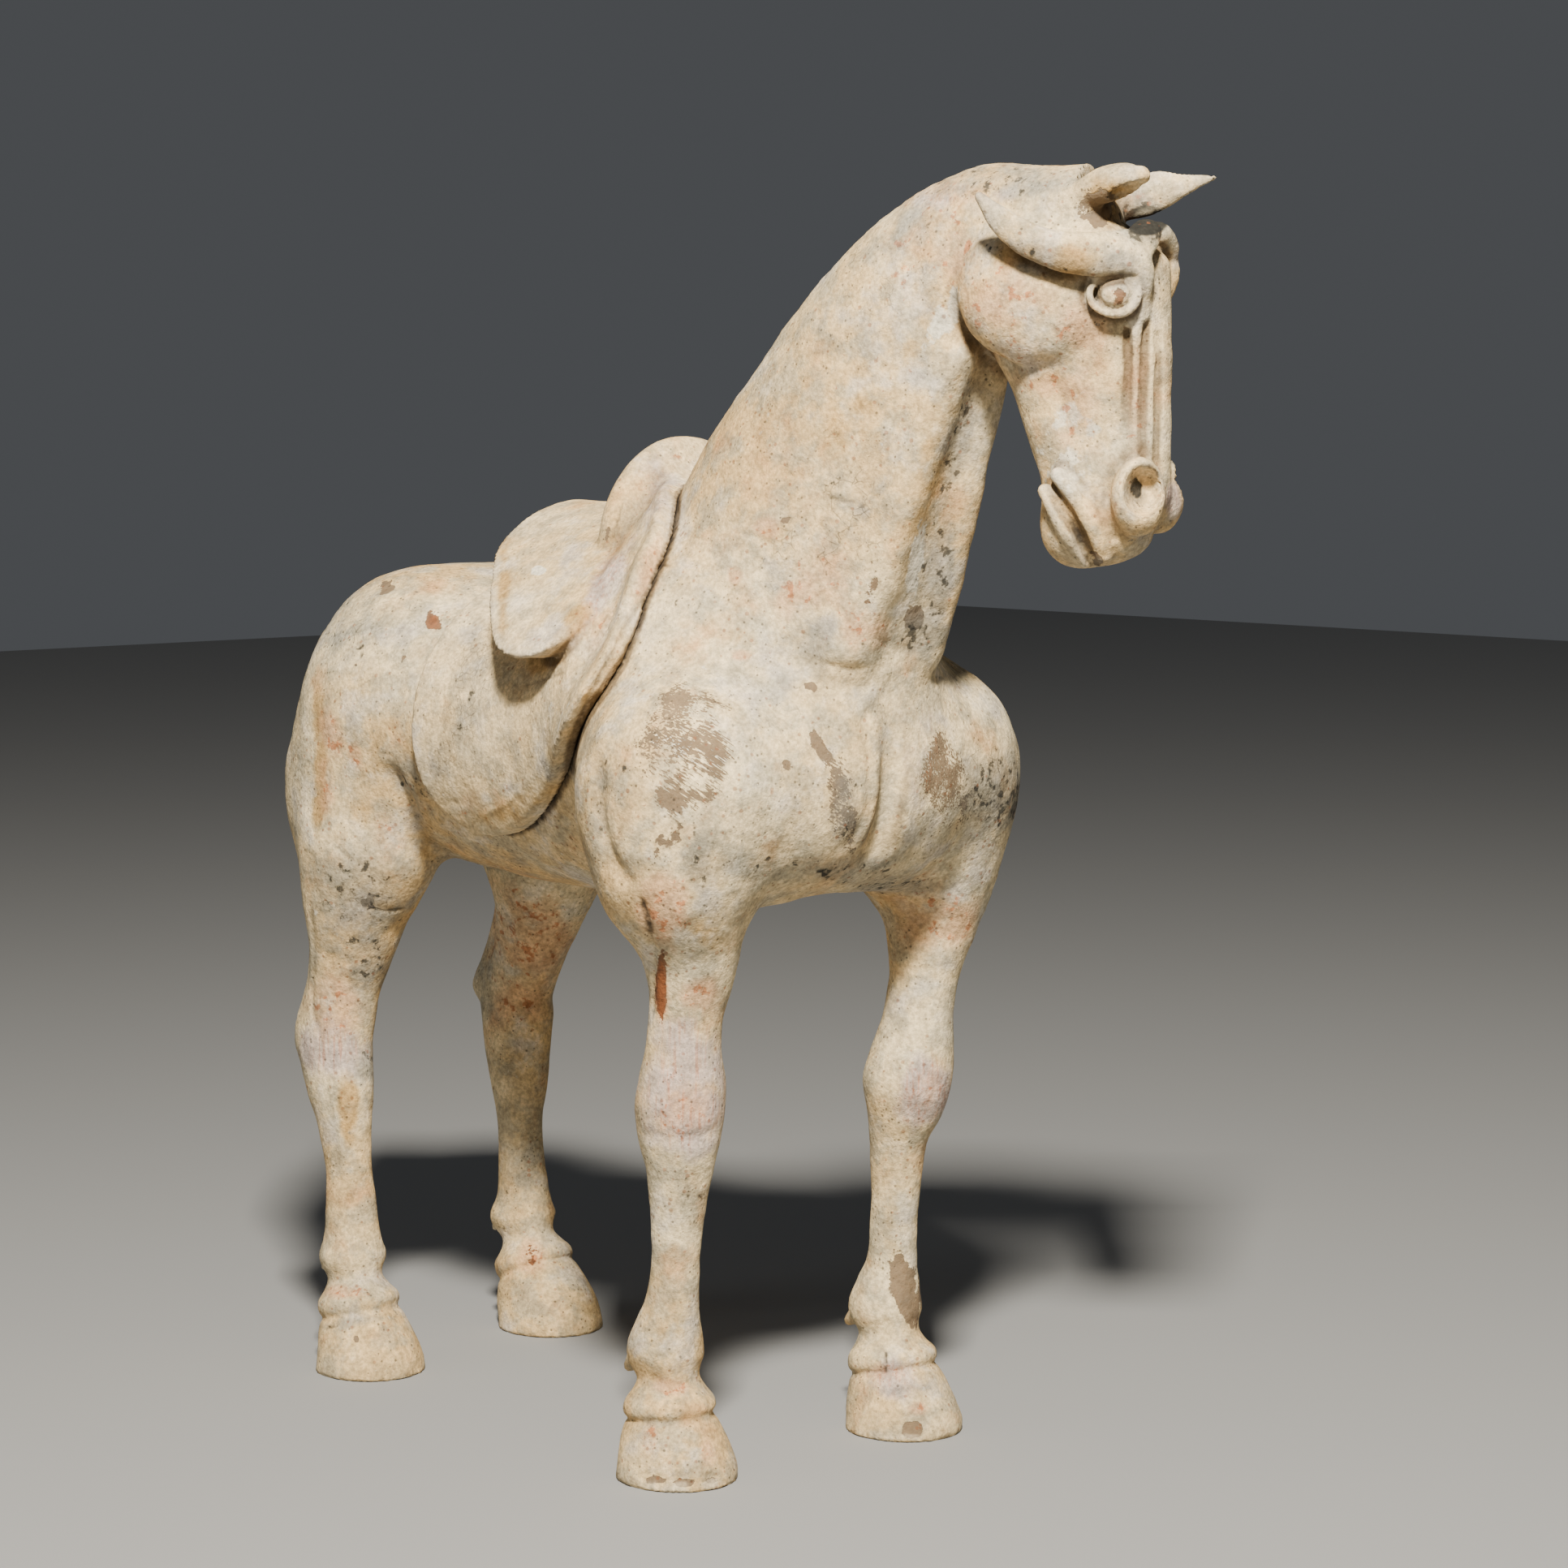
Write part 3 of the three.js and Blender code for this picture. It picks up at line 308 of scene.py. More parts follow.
headSteps = [
    (joined, [nosePlane], 12), (joined, [upperLip], 9), (joined, [lowerLip], 8), (joined, jowls, 4),
    (joined, noseRims, 8), (joined, brows, 7), (carvedBy, [foreheadHollow], 6), (carvedBy, cheekHollows, 8),
    (carvedBy, jowlCreases, 5), (carvedBy, faceGrooves, 3), (carvedBy, sockets, 4), (joined, eyes, 2.5),
    (joined, eyelids, 2), (carvedBy, nostrils, 3), (joined, lipRolls, 4), (carvedBy, mouthLine, 2),
    (carvedBy, lipCreases, 3), (joined, [rightEar, leftEar], 6),
    (carvedBy, [rightEarHollow, leftEarHollow], 2), (joined, locks, 4)]


def headField(p):
    q = toHead(p)
    return blended(skull(q), headSteps, q)


breastGroove = rod([[276, -3, 486, 7], [274, -5, 440, 7], [262, -7, 388, 8]])
bodySteps = [
    (joined, croup, 34), (joined, shoulderBlades, 36), (joined, breast, 22), (joined, shoulders, 24),
    (joined, upperArms, 24), (joined, [neck], 34), (joined, throatCords, 14), (carvedBy, [breastGroove], 12)]
limbSteps = [(joined, thighs, 20), (joined, legs, 16), (joined, hockTendons, 12), (joined, spurs, 6)]
headRoom = [[250, -90, 520], [490, 150, 860]]       # the head is worked out inside this box alone


def horseField(p):
    body = blended(trunk(p), bodySteps, p)
    limbs = blended(np.full(len(p), 1e3), limbSteps, p)
    near = nearBox(p, *headRoom, 0)
    head = np.full(len(p), farAway)
    head[near] = headField(p[near])
    whole = smoothUnion(body, limbs, 14)
    whole = smoothUnion(whole, tail(p), 10)
    whole = smoothUnion(whole, head, 10)
    return np.maximum(whole, -p[:, 2])              # the soles lie flat on the floor


saddle = {
    'clothThickness': 13,
    'clothEdge': 3,                 # rounding of the edge of the cloth
    'clearance': 0.35,              # open joint between the saddle and the horse
    'clothOutline': [[-62, 560], [-62, 450], [-53, 405], [-18, 384], [34, 395], [92, 434], [146, 488],
                     [152, 548], [128, 598], [80, 616], [10, 620], [-62, 620], [-62, 560]],
    'seatRidge': 597,               # height of the seat over the horse's back
    'seatSpread': 141,              # middle line to the tip of the seat's wing
    'seatTipHeight': 504,
    'seatFlare': 1.75,              # 1 is a straight slope from ridge to tip, 2 a rounder fall
    'seatThickness': 18,
    'seatInset': 12,                # how far the filling under the wing stands back
    'seatEdge': 4,
    'seatBlend': 3,
    'lowest': 440,                  # seat and arch end here, inside the horse
    'seatOutline': [[-44, 612], [-41, 586], [-32, 568], [-14, 553], [11, 534], [43, 512], [59, 506],
                    [77, 504], [95, 508], [107, 518], [110, 531], [100, 549], [86, 567], [74, 588],
                    [64, 612], [10, 630], [-44, 612]],
    'pommelCentre': [72, 0, 566],
    'pommelRadii': [25, 68, 74],
    'archBlend': 12,
    'armBlend': 12,
    'valleyBlend': 8,
    'valley': [[115, 93, 589, 20], [118, 115, 564, 25], [122, 128, 539, 25], [121, 138, 516, 22],
               [112, 146, 494, 14]],    # hollow of the cloth between the seat and the front rib
    'bowArms': [[80, 36, 594, 13], [96, 52, 556, 10], [111, 76, 522, 9], [116, 95, 498, 8],
                [106, 108, 468, 6]],
    'cell': 2.2,
    'triangles': 120000,
    'uneven': 0.45,
    'marked': 4}                    # marks start this far outside the horse, so that the joint stays even


def outlineDistance(points, closedLine):
    a = closedLine[:-1]
    b = closedLine[1:]
    best = np.full(len(points), 1e9)
    inside = np.zeros(len(points), bool)
    for (ax, az), (bx, bz) in zip(a, b):
        ex, ez = bx - ax, bz - az
        wx, wz = points[:, 0] - ax, points[:, 1] - az
        t = np.clip((wx * ex + wz * ez) / (ex * ex + ez * ez), 0, 1)
        best = np.minimum(best, (wx - ex * t) ** 2 + (wz - ez * t) ** 2)
        crosses = (points[:, 1] >= az) != (points[:, 1] >= bz)
        if bz != az:
            inside ^= crosses & (points[:, 0] < ax + ex * (points[:, 1] - az) / (bz - az))
    return np.where(inside, -1, 1) * np.sqrt(best)


clothLine = smoothRows(saddle['clothOutline'], 3)
seatLine = smoothRows(saddle['seatOutline'], 3)
pommel = egg(saddle['pommelCentre'], saddle['pommelRadii'])
bowArms = bothSides(lambda s: rod([[x, s * y, z, r] for x, y, z, r in saddle['bowArms']]))
valley = bothSides(lambda s: rod([[x, s * y, z, r] for x, y, z, r in saddle['valley']]))


def clothField(p, body):            # a skin over the horse's body, cut to its outline
    outline = outlineDistance(p[:, [0, 2]], clothLine)
    return smoothCut(body - saddle['clothThickness'], -outline, saddle['clothEdge'])


def archField(p):
    arch = np.maximum(pommel(p), saddle['lowest'] - p[:, 2])
    return joined(arch, bowArms, saddle['armBlend'], p)


def seatField(p):                   # a bent plate with two wings, on a narrower filling
    flare = saddle['seatFlare']
    drop = saddle['seatRidge'] - saddle['seatTipHeight']
    out = np.abs(p[:, 1]) / saddle['seatSpread']
    steep = drop * flare * out ** (flare - 1) / saddle['seatSpread']
    face = (p[:, 2] - saddle['seatRidge'] + drop * out ** flare) / np.sqrt(1 + steep ** 2)
    tongue = outlineDistance(p[:, [0, 2]], seatLine)
    plate = smoothCut(face, -tongue, saddle['seatEdge'])
    plate = np.maximum(plate, -face - saddle['seatThickness'])
    filling = np.maximum(face + saddle['seatThickness'] / 2, tongue + saddle['seatInset'])
    filling = np.maximum(filling, saddle['lowest'] - p[:, 2])
    return np.minimum(plate, filling)


def saddleField(p):
    body = horseField(p)
    whole = smoothUnion(clothField(p, body), archField(p), saddle['archBlend'])
    whole = carvedBy(whole, valley, saddle['valleyBlend'], p)
    whole = smoothUnion(whole, seatField(p), saddle['seatBlend'])
    return np.maximum(whole, saddle['clearance'] - body)


def traceSurface(field, lines):         # one point in each crossed cell, one face across each crossed edge
    coarse, middle = 8, 2               # cells along a coarse and a middle block
    coarseSlack, middleSlack, extra = 1.7, 2.6, 3       # room to spare round the surface
    counts = np.array([len(line) - 1 for line in lines])

    def at(places):
        return np.stack([np.interp(places[:, k], np.arange(len(lines[k])), lines[k]) for k in range(3)], 1)

    def nearBlocks(starts, size, slack):
        half = np.sqrt(((at(starts + size) - at(starts)) ** 2).sum(1)) / 2
        d = field(at(starts + size / 2))
        return starts[np.abs(d) < half * slack + extra]

    axes = [np.arange(0, n, coarse) for n in counts]
    blocks = np.stack(np.meshgrid(*axes, indexing='ij'), -1).reshape(-1, 3)
    blocks = nearBlocks(blocks, coarse, coarseSlack)
    steps = np.arange(0, coarse, middle)
    inner = np.stack(np.meshgrid(steps, steps, steps, indexing='ij'), -1).reshape(-1, 3)
    blocks = nearBlocks((blocks[:, None] + inner).reshape(-1, 3), middle, middleSlack)
    steps = np.arange(middle + 1)
    inner = np.stack(np.meshgrid(steps, steps, steps, indexing='ij'), -1).reshape(-1, 3)
    size = counts + 1
    strides = np.array([size[1] * size[2], size[2], 1])
    nodes = np.unique(((blocks[:, None] + inner) @ strides).ravel())
    where = np.stack(np.unravel_index(nodes, size), 1)
    values = np.full(size.prod(), np.nan, np.float32)
    values[nodes] = field(at(where))
    values = values.reshape(size)
    corners = [values[i:size[0] - 1 + i, j:size[1] - 1 + j, k:size[2] - 1 + k]
               for i in (0, 1) for j in (0, 1) for k in (0, 1)]
    below = sum((c < 0).astype(np.int8) for c in corners)
    known = ~np.isnan(sum(corners))
    crossed = known & (below > 0) & (below < 8)
    cells = np.argwhere(crossed)
    number = np.full(crossed.shape, -1, np.int64)
    number[crossed] = np.arange(len(cells))
    v = np.stack([c[crossed] for c in corners], 1).astype(float)
    offsets = np.array([[i, j, k] for i in (0, 1) for j in (0, 1) for k in (0, 1)], float)
    total, hits = np.zeros((len(cells), 3)), np.zeros(len(cells))
    for a in range(8):
        for b in range(a + 1, 8):
            if np.abs(offsets[a] - offsets[b]).sum() != 1:
                continue
            cut = (v[:, a] < 0) != (v[:, b] < 0)
            t = np.where(cut, v[:, a] / np.where(cut, v[:, a] - v[:, b], 1), 0)[:, None]
            total += np.where(cut[:, None], offsets[a] + (offsets[b] - offsets[a]) * t, 0)
            hits += cut
    points = at(cells + total / hits[:, None])
    faces = []
    inside = values < 0
    for axis in range(3):
        one, two = [k for k in range(3) if k != axis]
        here = [slice(1, -1)] * 3
        here[axis] = slice(0, -1)
        ahead = list(here)
        ahead[axis] = slice(1, None)
        a, b = values[tuple(here)], values[tuple(ahead)]
        edges = (~np.isnan(a)) & (~np.isnan(b)) & ((a < 0) != (b < 0))
        spots = np.argwhere(edges)
        spots[:, one] += 1
        spots[:, two] += 1
        outward = inside[tuple(spots.T)]
        quad = []
        for da, db in ((-1, -1), (0, -1), (0, 0), (-1, 0)):
            beside = spots.copy()
            beside[:, one] += da
            beside[:, two] += db
            quad.append(number[tuple(beside.T)])
        quad = np.stack(quad, 1)
        flip = outward if axis != 1 else ~outward
        quad[~flip] = quad[~flip][:, ::-1]
        faces.append(quad)
    faces = np.concatenate(faces)
    whole = faces.min(axis=1) >= 0
    note(f'{len(faces)} faces traced, {np.sum(~whole)} of them open and left out')
    return points, faces[whole]


def settle(field, points, step=0.4, farthest=1.5):     # moves each point onto the form itself
    here = field(points)
    slope = np.stack([(field(points + step * e) - here) / step for e in np.eye(3)], 1)
    steepness = np.maximum((slope ** 2).sum(1), 0.25)
    return points + slope * np.clip(-here / steepness, -farthest, farthest)[:, None]


def steppedAxis(low, high, coarse, fineRanges, easing=50):     # grid lines, closer inside the named ranges
    lines = [low]
    while lines[-1] < high:
        step = coarse
        for fine, start, end in fineRanges:
            beyond = max(start - lines[-1], lines[-1] - end, 0)
            step = min(step, fine + (coarse - fine) * min(beyond / easing, 1))
        lines.append(lines[-1] + step)
    while (len(lines) - 1) % 8:
        lines.append(lines[-1] + coarse)
    return np.array(lines, float)


def makeMesh(name, points, faces):
    mesh = bpy.data.meshes.new(name)
    mesh.vertices.add(len(points))
    mesh.vertices.foreach_set('co', (points / 1000 - offset).astype(np.float32).ravel())
    mesh.loops.add(faces.size)
    mesh.loops.foreach_set('vertex_index', faces.astype(np.int32).ravel())
    mesh.polygons.add(len(faces))
    mesh.polygons.foreach_set('loop_start', np.arange(0, faces.size, faces.shape[1], dtype=np.int32))
    mesh.update(calc_edges=True)
    mesh.validate()
    piece = bpy.data.objects.new(name, mesh)
    bpy.context.scene.collection.objects.link(piece)
    return piece


def thinned(piece, triangles):      # fewer triangles on even ground, the same form
    bpy.context.view_layer.objects.active = piece
    cut = piece.modifiers.new('even', 'TRIANGULATE')
    count = sum(len(p.vertices) - 2 for p in piece.data.polygons)
    if count > triangles:
        thin = piece.modifiers.new('thin', 'DECIMATE')
        thin.ratio = triangles / count
    done = bpy.data.meshes.new_from_object(piece.evaluated_get(bpy.context.evaluated_depsgraph_get()))
    piece.modifiers.clear()
    old = piece.data
    piece.data = done
    bpy.data.meshes.remove(old)
    done.name = piece.name
    done.polygons.foreach_set('use_smooth', np.ones(len(done.polygons), bool))
    return piece


def coordinates(piece):
    flat = np.empty(len(piece.data.vertices) * 3, np.float32)
    piece.data.vertices.foreach_get('co', flat)
    return (flat.reshape(-1, 3).astype(float) + offset) * 1000


def setCoordinates(piece, points):
    piece.data.vertices.foreach_set('co', (points / 1000 - offset).astype(np.float32).ravel())
    piece.data.update()


offset = np.array([0.071858, -0.000008, 0.0])    # the horse's drawing to the object's own frame, in metres

# Where the camera stands. Marks on the clay are placed by the picture's own pixels, 1932 to a side,
# and carried along the camera's rays on to the clay.
pictureSize = 1932
lensLength = 84.3
sensorWidth = 36
cameraPlace = np.array([1.7986, -1.5149, 0.659])
lookingDown = math.radians(5.88)
aim = Vector((-0.7471 * math.cos(lookingDown), 0.6647 * math.cos(lookingDown), -math.sin(lookingDown)))
turn = aim.to_track_quat('-Z', 'Y')
rightward, upward, backward = (np.array(turn @ Vector(way)) for way in ((1, 0, 0), (0, 1, 0), (0, 0, 1)))
pixelReach = lensLength / sensorWidth * pictureSize


def pictureOf(points):                      # metres to picture pixels, and the depth in metres
    away = points / 1000 - offset - cameraPlace
    depth = -away @ backward
    return (pictureSize / 2 + pixelReach * (away @ rightward) / depth,
            pictureSize / 2 - pixelReach * (away @ upward) / depth, depth)


def surfaceTree(points, faces):
    halves = np.concatenate([faces[:, [0, 1, 2]], faces[:, [0, 2, 3]]])
    return BVHTree.FromPolygons((points / 1000 - offset).tolist(), halves.tolist(), all_triangles=True)


def seenAt(tree, x, y):                     # the drawing's point behind a picture pixel
    way = (rightward * (x - pictureSize / 2) + upward * (pictureSize / 2 - y)) / pixelReach - backward
    hit = tree.ray_cast(Vector(cameraPlace), Vector(way).normalized())[0]
    return None if hit is None else (np.array(hit) + offset) * 1000


def clayNoise(points, cell, seed):          # smooth and even, between -1 and 1
    grid = np.random.RandomState(seed).uniform(-1, 1, (32, 32, 32))
    place = points / cell + 1000
    low = np.floor(place).astype(int)
    t = place - low
    t = t * t * (3 - 2 * t)
    total = 0
    for corner in range(8):
        step = np.array([corner & 1, corner >> 1 & 1, corner >> 2 & 1])
        share = np.prod(np.where(step, t, 1 - t), axis=1)
        i, j, k = ((low + step) % 32).T
        total = total + grid[i, j, k] * share
    return total


def toolMarks(points, tree, marks):         # rise in millimetres, and how dark each mark is: dark cracks, and painted shade along creases and folds
    rise = np.zeros(len(points))
    dark = np.zeros(len(points))
    wobble = clayNoise(points, 9, 5)
    for width, height, darkness, spots in marks:
        line = smoothRows([[float(v) for v in spot] for spot in spots], 4)
        line = [seenAt(tree, x, y) for x, y in line]
        line = np.array([point for point in line if point is not None])
        if len(line) < 2:
            continue
        reach = 2.2 * width
        near = np.all((points > line.min(0) - reach) & (points < line.max(0) + reach), axis=1)
        close = points[near]
        best = np.full(len(close), 1e9)
        share = np.zeros(len(close))
        for n in range(len(line) - 1):
            span = line[n + 1] - line[n]
            along = np.clip((close - line[n]) @ span / max(span @ span, 1e-9), 0, 1)
            gap = np.linalg.norm(close - line[n] - along[:, None] * span, axis=1)
            share = np.where(gap < best, (n + along) / (len(line) - 1), share)
            best = np.minimum(best, gap)
        ends = np.clip(np.minimum(share, 1 - share) * 6, 0, 1)
        profile = np.exp(-(best / width * (1 + 0.35 * wobble[near])) ** 2 * 2) * ends
        rise[near] += height * profile
        dark[near] = np.maximum(dark[near], darkness * profile)
    return rise, dark


def patches(points, tree, spots):           # soft-edged ovals, laid on the side that the picture shows
    total = np.zeros(len(points))
    px, py, depth = pictureOf(points)
    for x, y, long, wide, angle, strength in spots:
        hit = seenAt(tree, x, y)
        if hit is None:
            continue
        hitDepth = pictureOf(hit[None])[2][0]
        c, s = math.cos(math.radians(angle)), math.sin(math.radians(angle))
        u, v = (px - x) * c + (py - y) * s, (py - y) * c - (px - x) * s
        r = np.sqrt((u / long) ** 2 + (v / wide) ** 2)
        behind = np.abs(depth - hitDepth) / (0.0008 * (long + wide) + 0.02)
        weight = np.clip((1.45 - r) / 0.9, 0, 1) * np.clip(2 - behind, 0, 1)
        total = np.maximum(total, strength * weight)
    return total


def normalsOf(points, faces):
    a, b, c = (points[faces[:, n]] for n in (0, 1, 2))
    normal = np.cross(b - a, c - a) if faces.shape[1] == 3 else np.cross(c - a, points[faces[:, 3]] - b)
    total = np.zeros_like(points)
    for n in range(faces.shape[1]):
        np.add.at(total, faces[:, n], normal)
    return total / np.maximum(np.linalg.norm(total, axis=1), 1e-9)[:, None]


def triangleList(piece):
    flat = np.empty(len(piece.data.polygons) * 3, np.int32)
    piece.data.polygons.foreach_get('vertices', flat)
    return flat.reshape(-1, 3)


def addMask(piece, name, values):
    mask = piece.data.attributes.new(name, 'FLOAT', 'POINT')
    mask.data.foreach_set('value', values.astype(np.float32))


nearness = 6        # how far round a point the form is felt, in millimetres


# how deep a point lies in a hollow; the colour is darkened there with earth and painted shade
def sunkenness(points, normals, field):
    rise = field(points + normals * nearness) - field(points)
    return np.clip(1 - rise / nearness, 0, 1)


def exposure(points, normals, field):
    fall = field(points - normals * nearness) - field(points)
    return np.clip(1 + fall / nearness, 0, 1)


